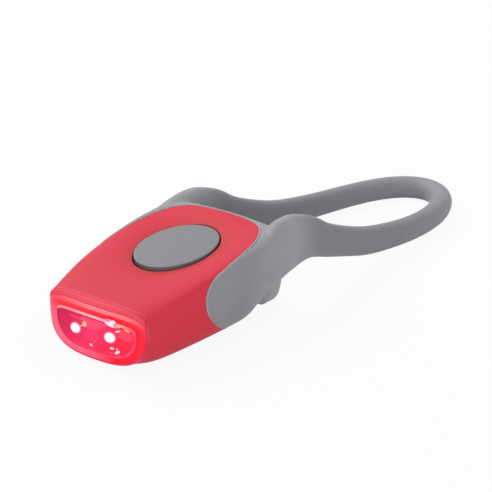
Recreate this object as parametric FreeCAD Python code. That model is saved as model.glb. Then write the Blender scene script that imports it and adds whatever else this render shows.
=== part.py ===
import FreeCAD, Part
import math
import os

Vector = FreeCAD.Vector

# Everything is in millimetres. "Behind" is the distance back from the lens face along +Y, "height" is
# above the surface the light stands on, and every piece is symmetric about the plane x = 0.

# Pod, the red body
shell_length = 40.0
nose_half_width = 12.4
pod_half_width = 15.6
widest_behind = 29.0
rear_narrowing = 0.6
nose_height = 13.2
pod_height = 18.9
highest_inside = 2.0
top_rise_power = 1.4
rear_drop = 0.12
nose_lift = 1.5
nose_lift_length = 9.0
keel = 0.4
girth_share = 0.745
top_fullness = 7.5
nose_fullness = 4.0
nose_fullness_length = 14.0
bottom_fullness = 3.2
stern_fullness = 2.2
stern_behind = 28.0
stern_length = 9.0
dish_depth = 2.0
dish_reach = 12.0
dish_offset = 1.1
rear_crown = 1.05
rear_crown_length = 10.0

# Walls of the two shells
top_wall = 1.5
side_wall = 2.4
rear_wall = 1.5
nose_wall = 1.5
parting_height = 2.9
slip = 0.1

# Lens, its seal and the reflector
lens_depth = 0.4
lens_bulge = 1.1
lens_window = 1.2
lens_rim = 2.2
lens_edge_round = 0.35
skirt_length = 2.4
seal_thickness = 0.5
reflector_gap = 0.5
reflector_wall = 0.6
reflector_flange = 1.0
reflector_back = 8.9
reflector_floor = 0.8
reflector_taper = 1.0

# Light-emitting diodes, 5 mm type with two leads each
led_pitch = 9.0
led_height = 6.9
led_radius = 2.5
led_tip_behind = 1.9
led_body_length = 7.0
led_flange_radius = 2.9
led_flange = 1.0
lead_pitch = 2.54
lead_size = 0.5
lead_reach = 1.3
lead_stub = 0.4

# Coin cells, 20 mm across and 3.2 mm thick, stacked in a carrier under the board
cell_radius = 10.0
cell_height = 3.2
cell_cap_radius = 8.9
cell_cap_step = 0.25
cells_behind = 22.5
cells_floor = 2.9
carrier_clearance = 0.2
carrier_wall = 1.0
carrier_plate = 0.8
carrier_window = 6.0

# Circuit board and what is soldered to it
board_thickness = 0.8
board_side_room = 4.4
board_front = 9.6
board_end_room = 2.2
board_corner = 1.5
chip_length = 4.9
chip_width = 3.9
chip_height = 1.4
chip_behind = 15.6
chip_leg = 0.4
chip_leg_reach = 1.0
chip_leg_count = 4
resistor_length = 2.0
resistor_width = 1.25
resistor_height = 0.5
resistor_pitch = 9.0
resistor_behind = 13.4
switch_side = 6.0
switch_height = 1.6
switch_corner = 0.5
plunger_radius = 1.6
plunger_rise = 0.5
plunger_travel = 0.3

# Button pad and the gasket that carries it
button_behind = 24.4
button_half_width = 7.6
button_half_length = 10.0
button_centre_height = 16.7
button_tilt = 7.5
button_edge_round = 0.5
button_clearance = 0.3
button_thickness = 2.2
button_travel = 0.6
post_radius = 1.5
gasket_thickness = 0.8
gasket_margin = 1.4

# Battery door in the underside
door_radius = 10.7
door_opening_margin = 0.15
door_lobe_half_width = 3.0
door_lobe_behind = 35.4
door_lobe_corner = 1.2
door_ledge_height = 2.0
door_floor = 1.5
door_play = 0.15
door_seal_thickness = 0.3
door_pad_radius = 8.0
door_screw_behind = 34.0
door_screw_seat = 1.0
coin_slot_length = 9.0
coin_slot_width = 1.2
coin_slot_depth = 0.6

# Screws: self-tapping, pan head with a cross slot
screw_radius = 0.8
screw_head_radius = 1.4
screw_head = 0.8
screw_slot_width = 0.35
screw_slot_length = 1.8
screw_slot_depth = 0.4
head_clearance = 0.1
case_screw_land = 0.3
boss_radius = 2.0
board_boss_radius = 1.5
lower_boss_height = 1.1
case_screw_length = 6.0
board_screw_length = 5.0
door_screw_length = 1.6
front_screw_half_pitch = 9.2
front_screw_behind = 11.2
rear_screw_half_pitch = 8.2
rear_screw_inside = 6.6
board_screw_half_pitch = 5.0
board_screw_inside = 4.0

# Contacts, sheet metal
contact_thickness = 0.25
contact_width = 3.0
negative_contact_length = 9.0

# Strap cradle: skin over the pod's rear sides, back plate, limbs, loop and hook, one moulding
skin = 1.2
cradle_back = 1.5
heel_length = 4.0
heel_height = 4.4
lobe_front = 15.5
lobe_front_height = 11.7
tongue_side_room = 2.3
tongue_overhang = 0.6
tongue_corner = 6.0
limb_inside = 3.0
limb_half_thickness = 2.2
shoulder_height = 20.1
arch_height = 9.0
loop_thickness = 4.7
limb_length = 32.0
loop_length = 42.6
loop_bend_power = 3.6
loop_ease_power = 2.5
limb_fullness = 2.6
loop_fullness = 2.1
groove_radius = 2.6
groove_inside = 0.8
groove_height = 0.9
lug_side_room = 4.7
lug_length = 5.1
lug_underside = 1.5
lug_top = 4.9
lug_corner = 4.0
lug_belly = 2.4
lug_toe = 1.8
lug_ridge = 1.0
saddle_top = 12.5
saddle_hollow = 0.9

# Derived sizes that several pieces share
cradle_end = shell_length + cradle_back
highest_behind = shell_length - highest_inside
board_half_width = pod_half_width - board_side_room
board_back = shell_length - board_end_room
rear_screw_behind = shell_length - rear_screw_inside
board_screw_behind = shell_length - board_screw_inside
heel_behind = shell_length - heel_length
tongue_half_width = pod_half_width - tongue_side_room
limb_half_pitch = pod_half_width - limb_inside
loop_bend_start = shell_length + limb_length
groove_behind = shell_length - groove_inside
lug_half_width = pod_half_width - lug_side_room
lug_reach = cradle_end + lug_length
loop_end = loop_bend_start + loop_length + loop_thickness / 2
lens_back = lens_depth + skirt_length
case_seat = parting_height - case_screw_land
board_underside = cells_floor + 2 * cell_height + slip + carrier_plate
board_top = board_underside + board_thickness
plunger_top = board_top + switch_height + plunger_rise
post_bottom = plunger_top + button_travel - plunger_travel + slip / 2
led_back = led_tip_behind + led_body_length
boss_top = cells_floor + lower_boss_height

# How closely the curved forms are drawn
section_points = 40
strap_points = 20
span_length = 4.5
loop_steps = 7
rounding_steps = 3


def half_width(behind):
    """Half the pod's width at a distance behind the lens face."""
    if behind < widest_behind:
        share = (widest_behind - behind) / widest_behind
        return pod_half_width - (pod_half_width - nose_half_width) * share ** 2
    share = (behind - widest_behind) / (shell_length - widest_behind)
    return pod_half_width - rear_narrowing * share ** 3


def top_height(behind):
    """Height of the pod's crown, without the dish around the button."""
    if behind < highest_behind:
        share = (highest_behind - behind) / highest_behind
        return pod_height - (pod_height - nose_height) * share ** top_rise_power
    share = (behind - highest_behind) / (shell_length - highest_behind)
    return pod_height - rear_drop * share ** 2


def bottom_height(behind):
    """Height of the rounded underside, before the keel is cut flat."""
    nose = max(0.0, (nose_lift_length - behind) / nose_lift_length)
    return nose_lift * nose ** 2 - keel


def underside_fullness(behind):
    """How square the lower half of the section is: rounder towards the stern."""
    stern = min(1.0, max(0.0, (behind - stern_behind) / stern_length))
    return bottom_fullness - (bottom_fullness - stern_fullness) * stern ** 2 * (3 - 2 * stern)


def crown_fullness(behind):
    """How square the upper half of the section is: rounder at the nose."""
    nose = min(1.0, max(0.0, (nose_fullness_length - behind) / nose_fullness_length))
    return top_fullness - (top_fullness - nose_fullness) * nose ** 2 * (3 - 2 * nose)


def crown_change(behind):
    """How far the crown's middle is raised: below zero in the dish round the button, above it at the stern."""
    dish = dish_depth * math.exp(-(((behind - button_behind - dish_offset) / dish_reach) ** 2))
    stern = min(1.0, max(0.0, (behind - shell_length + rear_crown_length) / rear_crown_length))
    return rear_crown * stern ** 2 * (3 - 2 * stern) - dish


def pod_section(behind, side, top, bottom):
    """One closed cross-section of the pod, set in from its surface by the three distances."""
    half = half_width(behind) - side
    roof = top_height(behind) - top
    floor = bottom_height(behind) + bottom
    girth = floor + (roof - floor) * girth_share
    points = []
    for step in range(section_points):
        angle = 2 * math.pi * step / section_points
        across, up = math.cos(angle), math.sin(angle)
        fullness = crown_fullness(behind) if up > 0 else underside_fullness(behind)
        length = (abs(across) ** fullness + abs(up) ** fullness) ** (1 / fullness)
        across, up = across / length, up / length
        height = girth + up * (roof - girth if up > 0 else girth - floor)
        if up > 0:
            height += crown_change(behind) * (1 - across ** 2) ** 2
        points.append(Vector(half * across, behind, height))
    return closed_curve(points)


def closed_curve(points):
    """A smooth closed wire through points, evenly parametrised so that lofts stay light."""
    curve = Part.BSplineCurve()
    knots = [step / len(points) for step in range(len(points) + 1)]
    curve.interpolate(Points=points, PeriodicFlag=True, Parameters=knots)
    return Part.Wire(curve.toShape())


def pod_form(start, end, side=0.0, top=0.0, bottom=0.0):
    """A solid of the pod's form between two distances behind the lens face."""
    spans = max(2, round((end - start) / span_length))
    places = [start + (end - start) * step / spans for step in range(spans + 1)]
    return Part.makeLoft([pod_section(place, side, top, bottom) for place in places], True)


def whole_form():
    """The pod with its silicone back plate, whose rear edge is rounded all the way round."""
    spans = round(shell_length / span_length)
    stations = [(shell_length * step / spans, 0.0) for step in range(spans + 1)]
    widest_turn = math.radians(60)
    for step in range(1, rounding_steps + 1):
        turn = widest_turn * step / rounding_steps
        place = shell_length + cradle_back * math.sin(turn) / math.sin(widest_turn)
        stations.append((place, cradle_back * (1 - math.cos(turn))))
    return Part.makeLoft([pod_section(place, inset, inset, inset) for place, inset in stations], True)


def slab(start, end, low, high):
    """A box as wide as anything in the light, between two distances behind and two heights."""
    wide = 4 * pod_half_width
    return Part.makeBox(wide, end - start, high - low, Vector(-wide / 2, start, low))


def upright(radius, low, high, x, behind):
    """A vertical cylinder between two heights."""
    return Part.makeCylinder(radius, high - low, Vector(x, behind, low))


def upright_ellipse(half_x, half_y, low, high, behind):
    """A vertical prism on an ellipse centred on x = 0."""
    if half_x > half_y:
        curve = Part.Ellipse(Vector(0, behind, low), half_x, half_y)
    else:
        long_end, short_end = Vector(0, behind + half_y, low), Vector(-half_x, behind, low)
        curve = Part.Ellipse(long_end, short_end, Vector(0, behind, low))
    return Part.Face(Part.Wire(curve.toShape())).extrude(Vector(0, 0, high - low))


def rounded_plate(half, start, end, low, high, corner):
    """A horizontal plate with its four vertical edges rounded."""
    plate = Part.makeBox(2 * half, end - start, high - low, Vector(-half, start, low))
    edges = [edge for edge in plate.Edges if abs(edge.tangentAt(edge.FirstParameter).z) > 0.9]
    return plate.makeFillet(corner, edges)


def side_prism(wire, half):
    """A wire drawn in the plane x = 0, extruded to both sides."""
    face = Part.Face(wire)
    face.translate(Vector(-half, 0, 0))
    return face.extrude(Vector(2 * half, 0, 0))


def case_screw_places():
    """Where the four screws that join the shells stand."""
    front = [(side * front_screw_half_pitch, front_screw_behind) for side in (-1, 1)]
    rear = [(side * rear_screw_half_pitch, rear_screw_behind) for side in (-1, 1)]
    return front + rear


def board_screw_places():
    """Where the two screws that hold the board stand."""
    return [(side * board_screw_half_pitch, board_screw_behind) for side in (-1, 1)]


def screw(x, behind, seat, length):
    """A pan-head screw driven upwards, with its head under the seat and a cross slot in it."""
    head = upright(screw_head_radius, seat - screw_head, seat, x, behind)
    shank = upright(screw_radius, seat, seat + length, x, behind)
    slots = []
    for along, across in ((screw_slot_length, screw_slot_width), (screw_slot_width, screw_slot_length)):
        corner = Vector(x - along / 2, behind - across / 2, seat - screw_head)
        slots.append(Part.makeBox(along, across, screw_slot_depth, corner))
    return head.fuse(shank).cut(slots)


def make_lens():
    """Clear cap with a bulged front, a rounded edge, a pocket behind its window and a skirt into the shell."""
    radius = (nose_half_width ** 2 + lens_bulge ** 2) / (2 * lens_bulge)
    front = upright(radius, -nose_height, 2 * nose_height, 0, radius - lens_bulge)
    cap = pod_form(-lens_bulge - slip, lens_depth).common(front)
    face = min(cap.Faces, key=lambda side: side.CenterOfMass.y)
    cap = cap.makeFillet(lens_edge_round, face.Edges)
    fit = nose_wall + slip
    skirt = pod_form(lens_depth - slip, lens_back, fit, fit, fit)
    pocket = pod_form(lens_window, lens_back + slip, lens_rim, lens_rim, lens_rim)
    return cap.fuse(skirt).cut(pocket)


def make_lens_seal():
    """Soft ring between the lens skirt and the reflector flange."""
    fit = nose_wall + slip
    ring = pod_form(lens_back, lens_back + seal_thickness, fit, fit, fit)
    bore = pod_form(lens_back - slip, lens_back + seal_thickness + slip, lens_rim, lens_rim, lens_rim)
    return ring.cut(bore)


def make_reflector():
    """Tapered bowl around both diodes, with a flange behind the seal."""
    body_inset = lens_rim + slip
    fit = nose_wall + slip
    flange_front = lens_back + seal_thickness
    body = pod_form(lens_window + reflector_gap, reflector_back, body_inset, body_inset, body_inset)
    flange_back = flange_front + reflector_flange
    flange = pod_form(flange_front, flange_back, fit, fit, fit)
    hollow_inset = body_inset + reflector_wall / 2
    hollow = pod_form(flange_front - slip, flange_back + slip, hollow_inset, hollow_inset, hollow_inset)
    mouth = body_inset + reflector_wall
    front = lens_window + reflector_gap - slip
    floor = reflector_back - reflector_floor
    sections = []
    for share in (0.0, 0.5, 1.0):
        inset = mouth + reflector_taper * share
        sections.append(pod_section(front + (floor - front) * share, inset, inset, inset))
    bowl = Part.makeLoft(sections, True)
    holes = [bore_along(x, led_radius + slip / 2, floor - slip, reflector_back + slip) for x in led_places()]
    return body.cut(bowl).fuse(flange.cut(hollow)).cut(holes)


def led_places():
    """The two diodes' distances from the middle."""
    return [-led_pitch / 2, led_pitch / 2]


def bore_along(x, radius, start, end):
    """A cylinder along +Y at the diodes' height."""
    return Part.makeCylinder(radius, end - start, Vector(x, start, led_height), Vector(0, 1, 0))


def make_led(x):
    """Round diode: dome, body and flange, turned about its own axis."""
    dome_centre = led_tip_behind + led_radius
    dome_mid = led_radius * math.sqrt(0.5)
    corners = [
        Vector(0, led_tip_behind, 0),
        Vector(led_radius, dome_centre, 0),
        Vector(led_radius, led_back, 0),
        Vector(led_flange_radius, led_back, 0),
        Vector(led_flange_radius, led_back + led_flange, 0),
        Vector(0, led_back + led_flange, 0),
    ]
    dome = Part.Arc(corners[0], Vector(dome_mid, dome_centre - dome_mid, 0), corners[1]).toShape()
    rest = Part.makePolygon(corners[1:] + [corners[0]])
    profile = Part.Face(Part.Wire([dome] + rest.Edges))
    body = profile.revolve(Vector(0, 0, 0), Vector(0, 1, 0), 360)
    body.translate(Vector(x, 0, led_height))
    return body


def make_leads(x):
    """Two square leads, back from the diode and up through the board."""
    start = led_back + led_flange
    bend = start + lead_reach
    low, high = led_height - lead_size / 2, led_height + lead_size / 2
    top = board_top + lead_stub
    outline = [(start, low), (bend, low), (bend, top), (bend - lead_size, top)]
    outline += [(bend - lead_size, high), (start, high), (start, low)]
    leads = []
    for side in (-1, 1):
        centre = x + side * lead_pitch / 2
        wire = Part.makePolygon([Vector(centre - lead_size / 2, y, z) for y, z in outline])
        leads.append(Part.Face(wire).extrude(Vector(lead_size, 0, 0)))
    return leads


def notch_tools(low, high):
    """Clearances round the screw posts, for the board and the carrier plate."""
    posts = []
    for x, behind in case_screw_places():
        posts.append(upright(boss_radius + 3 * slip, low - slip, high + slip, x, behind))
    for x, behind in board_screw_places():
        posts.append(upright(screw_radius + slip / 2, low - slip, high + slip, x, behind))
    return posts


def make_board():
    """Notched board, drilled for the leads and the screws."""
    board = rounded_plate(
        board_half_width, board_front, board_back, board_underside, board_top, board_corner
    )
    leads = [lead for x in led_places() for lead in make_leads(x)]
    return board.cut(notch_tools(board_underside, board_top) + leads)


def make_carrier():
    """Plate under the board with a round wall that keeps the coin cells."""
    low, high = board_underside - carrier_plate, board_underside
    front = led_back + led_flange + slip
    plate = rounded_plate(board_half_width, front, board_back, low, high, board_corner)
    inner = cell_radius + carrier_clearance
    floor = cells_floor + slip
    wall = upright(inner + carrier_wall, floor, high, 0, cells_behind)
    well = upright(inner, floor - slip, low, 0, cells_behind)
    window = upright(carrier_window, low - slip, high + slip, 0, cells_behind)
    leads = [lead for x in led_places() for lead in make_leads(x)]
    slot_half = contact_width / 2 + slip
    contact_slot = Part.makeBox(
        2 * slot_half,
        carrier_wall + cell_radius,
        high - floor + 2 * slip,
        Vector(-slot_half, cells_behind + cell_radius, floor - slip),
    )
    return plate.fuse(wall).cut([well, window, contact_slot] + notch_tools(low, high) + leads)


def make_cell(floor):
    """Coin cell with its smaller cap on top."""
    can = upright(cell_radius, floor, floor + cell_height - cell_cap_step, 0, cells_behind)
    cap = upright(cell_cap_radius, floor, floor + cell_height, 0, cells_behind)
    return can.fuse(cap).removeSplitter()


def make_positive_contact():
    """Strip from the board down beside the cells, bowed to touch the lower one."""
    touch = cells_behind + cell_radius
    back = touch + carrier_clearance + carrier_wall - contact_thickness
    low = cells_floor + cell_height * 0.25
    middle = cells_floor + cell_height * 0.5
    high = cells_floor + cell_height * 0.9
    outline = [
        (back, board_underside),
        (back, high),
        (touch, middle),
        (back, low),
        (back + contact_thickness, low),
        (touch + contact_thickness, middle),
        (back + contact_thickness, high),
        (back + contact_thickness, board_underside),
    ]
    points = [Vector(0, y, z) for y, z in outline]
    return side_prism(Part.makePolygon(points + points[:1]), contact_width / 2)


def make_negative_contact():
    """Leaf under the board, bowed down to the upper cell's cap."""
    touch = cells_floor + 2 * cell_height
    half = negative_contact_length / 2
    top = board_underside
    lift = contact_thickness
    outline = [
        (cells_behind - half, top),
        (cells_behind - half, top - lift),
        (cells_behind - half / 2, top - lift),
        (cells_behind - half / 4, touch),
        (cells_behind + half / 4, touch),
        (cells_behind + half / 2, top - lift),
        (cells_behind + half, top - lift),
        (cells_behind + half, top),
        (cells_behind + half / 2 - lift, top),
        (cells_behind + half / 4 - lift, touch + lift),
        (cells_behind - half / 4 + lift, touch + lift),
        (cells_behind - half / 2 + lift, top),
    ]
    points = [Vector(0, y, z) for y, z in outline]
    return side_prism(Part.makePolygon(points + points[:1]), contact_width / 2)


def make_chip():
    """Controller package with four legs along each side."""
    corner = Vector(-chip_length / 2, chip_behind - chip_width / 2, board_top + slip)
    body = Part.makeBox(chip_length, chip_width, chip_height - slip, corner)
    legs = []
    for place in range(chip_leg_count):
        x = -chip_length / 2 + chip_length * (place + 0.5) / chip_leg_count
        foot = Vector(x - chip_leg / 2, chip_behind - chip_width / 2 - chip_leg_reach, board_top)
        legs.append(Part.makeBox(chip_leg, chip_width + 2 * chip_leg_reach, chip_leg, foot))
    return body.fuse(legs)


def make_resistors():
    """One series resistor for each diode, as two solids."""
    resistors = []
    for side in (-1, 1):
        x = side * resistor_pitch / 2 - resistor_length / 2
        corner = Vector(x, resistor_behind, board_top)
        resistors.append(Part.makeBox(resistor_length, resistor_width, resistor_height, corner))
    return resistors


def make_switch_housing():
    """Square body of the tactile switch, open above for its plunger."""
    half = switch_side / 2
    body = rounded_plate(
        half, button_behind - half, button_behind + half, board_top, board_top + switch_height, switch_corner
    )
    seat = board_top + switch_height / 2 - plunger_travel
    return body.cut(upright(plunger_radius + slip, seat, board_top + switch_height + slip, 0, button_behind))


def make_switch_plunger():
    """Round plunger that stands in the switch body."""
    foot = board_top + switch_height / 2
    return upright(plunger_radius, foot, plunger_top, 0, button_behind)


def make_button_pad():
    """Elliptical pad with a tilted top, a rounded edge and a post over the switch."""
    low, high = button_centre_height - button_half_length, button_centre_height + button_half_length
    column = upright_ellipse(button_half_width, button_half_length, low, high, button_behind)
    layer = Part.makeBox(
        4 * button_half_width,
        4 * button_half_length,
        button_thickness,
        Vector(-2 * button_half_width, -2 * button_half_length, -button_thickness),
    )
    layer.rotate(Vector(0, 0, 0), Vector(1, 0, 0), button_tilt)
    layer.translate(Vector(0, button_behind, button_centre_height))
    pad = column.common(layer)
    top = max(pad.Faces, key=lambda face: face.CenterOfMass.z)
    pad = pad.makeFillet(button_edge_round, top.Edges)
    post_top = button_centre_height - button_thickness / 2
    return pad.fuse(upright(post_radius, post_bottom, post_top, 0, button_behind))


def make_button_gasket():
    """Flange under the crown that seals round the pad."""
    seat = top_wall + slip / 2
    under = pod_form(board_front, shell_length - rear_wall, side_wall, seat, top_wall)
    depth = seat + gasket_thickness
    core = pod_form(board_front - slip, shell_length, side_wall - slip, depth, top_wall - slip)
    half_x = button_half_width + gasket_margin
    half_y = button_half_length + gasket_margin
    disc = upright_ellipse(half_x, half_y, board_top + switch_height, pod_height, button_behind)
    clear = button_clearance
    hole = upright_ellipse(
        button_half_width + clear, button_half_length + clear, board_top, pod_height, button_behind
    )
    return under.common(disc).cut([core, hole])


def lobe_prism():
    """Side view of the part of the pod that the silicone covers, extruded across the pod."""
    front = [
        Vector(0, lobe_front + 13.5, parting_height),
        Vector(0, lobe_front + 6.6, parting_height + 0.6),
        Vector(0, lobe_front + 2.4, lobe_front_height - 5.2),
        Vector(0, lobe_front + 0.5, lobe_front_height - 2.6),
        Vector(0, lobe_front, lobe_front_height),
        Vector(0, lobe_front + 0.8, lobe_front_height + 2.5),
        Vector(0, lobe_front + 2.6, lobe_front_height + 3.8),
        Vector(0, lobe_front + 5.4, lobe_front_height + 4.5),
        Vector(0, lobe_front + 10.0, lobe_front_height + 5.5),
        Vector(0, lobe_front + 14.5, lobe_front_height + 6.6),
        Vector(0, lobe_front + 17.5, pod_height + 1.0),
    ]
    curve = Part.BSplineCurve()
    curve.interpolate(Points=front)
    far = cradle_end + slip
    rest = Part.makePolygon(
        [front[-1], Vector(0, front[-1].y, 2 * pod_height), Vector(0, far, 2 * pod_height),
         Vector(0, far, parting_height), front[0]]
    )
    return side_prism(Part.Wire([curve.toShape()] + rest.Edges), 2 * pod_half_width)


def tongue_prism():
    """Plan view of the red crown where it runs back between the lobes, as an upright prism."""
    edge = [
        Vector(tongue_half_width + 0.7, lobe_front - 2.0, 0),
        Vector(tongue_half_width + 0.9, shell_length - 16.0, 0),
        Vector(tongue_half_width + 0.8, shell_length - 10.5, 0),
        Vector(tongue_half_width, shell_length - tongue_corner - 0.4, 0),
        Vector(tongue_half_width - 1.1, shell_length - 4.0, 0),
        Vector(tongue_half_width - 2.2, shell_length - 2.3, 0),
        Vector(tongue_half_width - 3.7, shell_length - 1.0, 0),
        Vector(tongue_half_width - 5.6, shell_length - 0.1, 0),
        Vector(tongue_half_width - 9.3, shell_length + 0.4, 0),
        Vector(0, shell_length + tongue_overhang, 0),
    ]
    right = Part.BSplineCurve()
    right.interpolate(Points=edge, InitialTangent=Vector(0, 1, 0), FinalTangent=Vector(-1, 0, 0))
    right_edge = right.toShape()
    left_edge = right_edge.mirror(Vector(0, 0, 0), Vector(1, 0, 0))
    ends = [Vector(side * edge[0].x, edge[0].y, 0) for side in (-1, 1)]
    base = Part.makeLine(ends[0], ends[1])
    face = Part.Face(Part.Wire([base, right_edge, left_edge]))
    face.translate(Vector(0, 0, lobe_front_height + 1.5))
    return face.extrude(Vector(0, 0, pod_height))


def limb_stations():
    """A limb from its ridge on the pod to the loop: place, middle, half thickness, top, underside."""
    rise, end = shell_length, loop_bend_start
    middle, half = limb_half_pitch, limb_half_thickness
    return [
        (rise - 4.5, middle + 1.6, half - 1.3, shoulder_height - 2.2, arch_height - 1.0),
        (rise - 2.0, middle + 1.1, half - 0.7, shoulder_height - 0.7, arch_height - 1.3),
        (rise + 1.0, middle + 0.2, half + 0.1, shoulder_height + 0.1, arch_height - 1.4),
        (rise + 4.0, middle + 0.1, half + 0.1, shoulder_height + 0.2, arch_height - 0.8),
        (rise + 7.0, middle, half, shoulder_height - 0.3, arch_height - 0.3),
        (rise + 11.0, middle, half, shoulder_height - 1.7, arch_height),
        (rise + 15.0, middle, half, shoulder_height - 3.8, arch_height - 0.9),
        (end - 12.0, middle, half, shoulder_height - 6.6, arch_height - 2.5),
        (end - 6.0, middle, half, shoulder_height - 9.0, arch_height - 4.3),
        (end, middle, half, shoulder_height - 11.0, arch_height - 5.9),
    ]


def strap_section(x, behind, normal, half, low, high, fullness):
    """One upright cross-section of the strap, across its own direction."""
    middle, rise = (low + high) / 2, (high - low) / 2
    points = []
    for step in range(strap_points):
        angle = 2 * math.pi * step / strap_points
        across, up = math.cos(angle), math.sin(angle)
        length = (abs(across) ** fullness + abs(up) ** fullness) ** (1 / fullness)
        out, lift = half * across / length, rise * up / length
        points.append(Vector(x + normal.x * out, behind + normal.y * out, middle + lift))
    return closed_curve(points)


def make_strap():
    """Both limbs and the loop in one loft, from one shoulder round to the other."""
    right = []
    for behind, middle, half, high, low in limb_stations():
        right.append((middle, behind, Vector(1, 0, 0), half, low, high, limb_fullness))
    last_low, last_high = right[-1][4], right[-1][5]
    for step in range(1, loop_steps):
        turn = math.pi / 2 * step / loop_steps
        along = math.sin(turn)
        across = math.sqrt(1 - along ** loop_bend_power)
        slope = loop_bend_power * along ** (loop_bend_power - 1) / (2 * across)
        normal = Vector(loop_length, limb_half_pitch * slope, 0).normalize()
        ease = 1 - (1 - along) ** loop_ease_power
        low = last_low * (1 - ease)
        high = loop_thickness + (last_high - loop_thickness) * (1 - ease)
        place = loop_bend_start + loop_length * along
        half = limb_half_thickness + (loop_thickness / 2 - limb_half_thickness) * along
        fullness = limb_fullness + (loop_fullness - limb_fullness) * ease
        right.append((limb_half_pitch * across, place, normal, half, low, high, fullness))
    far = loop_bend_start + loop_length
    end = (0.0, far, Vector(0, 1, 0), loop_thickness / 2, 0.0, loop_thickness, loop_fullness)
    sections = [strap_section(*station) for station in right + [end]]
    for x, behind, normal, half, low, high, fullness in reversed(right):
        mirrored = Vector(-normal.x, normal.y, 0)
        sections.append(strap_section(-x, behind, mirrored, half, low, high, fullness))
    return Part.makeLoft(sections, True)


def make_lug():
    """Hook lug at the foot of the back plate, with the saddle that the handlebar lies in above it."""
    inside = cradle_end - cradle_back
    tip_height = (lug_underside + lug_top) / 2
    foot_end = Vector(0, lug_reach - lug_toe, lug_underside)
    tip = Vector(0, lug_reach, tip_height)
    ridge = Vector(0, lug_reach - lug_ridge, lug_top)
    saddle_end = Vector(0, cradle_end, saddle_top)
    saddle_mid = Vector(0, (cradle_end + lug_reach) / 2 - saddle_hollow, (lug_top + saddle_top) / 2 - saddle_hollow)
    start = Vector(0, inside, lug_underside)
    close = Vector(0, inside, saddle_top)
    quarter = 1 - math.sqrt(0.5)
    toe_mid = Vector(0, lug_reach - lug_toe * quarter, lug_underside + (tip_height - lug_underside) * quarter)
    nose_mid = Vector(0, lug_reach - lug_ridge * quarter, lug_top - (lug_top - tip_height) * quarter)
    toe = Part.Arc(foot_end, toe_mid, tip).toShape()
    nose = Part.Arc(tip, nose_mid, ridge).toShape()
    saddle = Part.Arc(ridge, saddle_mid, saddle_end).toShape()
    edges = [Part.makeLine(start, foot_end), toe, nose, saddle]
    edges += [Part.makeLine(saddle_end, close), Part.makeLine(close, start)]
    block = side_prism(Part.Wire(edges), lug_half_width)
    outline = rounded_plate(
        lug_half_width, inside - 2 * lug_corner, lug_reach, 0, 2 * saddle_top, lug_corner
    )
    girth = Part.makeBox(
        2 * lug_half_width, lug_reach, saddle_top, Vector(-lug_half_width, 0, lug_underside)
    )
    belly = [
        edge
        for edge in girth.Edges
        if abs(edge.tangentAt(edge.FirstParameter).y) > 0.9 and edge.CenterOfMass.z < lug_top
    ]
    return block.common(outline).common(girth.makeFillet(lug_belly, belly))


def make_cradle(outer):
    """The silicone moulding: skin, heel, back plate, limbs, loop, lug and hook groove."""
    seat = pod_form(board_front, shell_length, skin, skin, skin)
    cover = outer.common(slab(board_front + slip, cradle_end, parting_height, 2 * pod_height)).cut(seat)
    cover = cover.common(lobe_prism()).cut(tongue_prism())
    heel = outer.common(slab(heel_behind, cradle_end, 0, heel_height))
    groove = Part.makeCylinder(
        groove_radius,
        4 * pod_half_width,
        Vector(-2 * pod_half_width, groove_behind, groove_height),
        Vector(1, 0, 0),
    )
    cradle = cover.fuse([heel, make_strap(), make_lug()])
    return cradle.cut(groove)


def cell_well():
    """Room for the carrier inside the shells."""
    radius = cell_radius + carrier_clearance + carrier_wall + slip
    return upright(radius, cells_floor, board_top, 0, cells_behind)


def make_upper_shell(outer, cradle):
    """Red housing: crown and sides, open in front, below and under the button."""
    body = outer.common(slab(lens_depth, shell_length + tongue_overhang, parting_height, 2 * pod_height))
    low = parting_height - slip
    nose = pod_form(lens_depth - slip, board_front, nose_wall, nose_wall, nose_wall)
    room = pod_form(board_front - slip, shell_length - rear_wall, side_wall, top_wall, top_wall)
    for tool in (nose, room, cell_well(), slab(heel_behind, cradle_end, 0, heel_height)):
        body = body.cut(tool)
    posts = []
    for x, behind in case_screw_places():
        body = body.cut(upright(boss_radius + slip, low, boss_top + slip, x, behind))
        post = upright(boss_radius, boss_top, pod_height, x, behind)
        posts.append(post.common(outer).cut(upright(screw_radius, low, board_top, x, behind)))
    for x, behind in board_screw_places():
        post = upright(board_boss_radius, board_top, pod_height, x, behind)
        reach = board_underside - carrier_plate + board_screw_length
        posts.append(post.common(outer).cut(upright(screw_radius, board_underside, reach, x, behind)))
    clear = button_clearance
    opening = upright_ellipse(
        button_half_width + clear, button_half_length + clear, board_top, 2 * pod_height, button_behind
    )
    return body.fuse(posts).cut(cradle).cut(opening)


def make_lower_shell(outer):
    """Red base with the battery opening, its ledge and four screw bosses."""
    body = outer.common(slab(lens_depth, heel_behind, 0, parting_height))
    nose = pod_form(lens_depth - slip, board_front, nose_wall, nose_wall, nose_wall)
    bosses, holes = [], []
    for x, behind in case_screw_places():
        bosses.append(upright(boss_radius, parting_height - 2 * slip, boss_top, x, behind))
        holes.append(upright(screw_radius + slip, 0, boss_top + slip, x, behind))
        holes.append(upright(screw_head_radius + head_clearance, 0, case_seat, x, behind))
    recess = door_outline(0, door_ledge_height, door_play)
    opening_radius = cell_radius + door_opening_margin
    opening = upright(opening_radius, 0, parting_height + slip, 0, cells_behind)
    pilot = upright(screw_radius, 0, parting_height - 2 * slip, 0, door_screw_behind)
    return body.cut(nose).fuse(bosses).cut(holes + [recess, opening, pilot])


def door_outline(low, high, grow=0.0):
    """The door's plan, a disc with a lobe for its screw, as an upright prism."""
    disc = upright(door_radius + grow, low, high, 0, cells_behind)
    half = door_lobe_half_width + grow
    lobe = rounded_plate(half, cells_behind, door_lobe_behind + grow, low, high, door_lobe_corner)
    return disc.fuse(lobe).removeSplitter()


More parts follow.
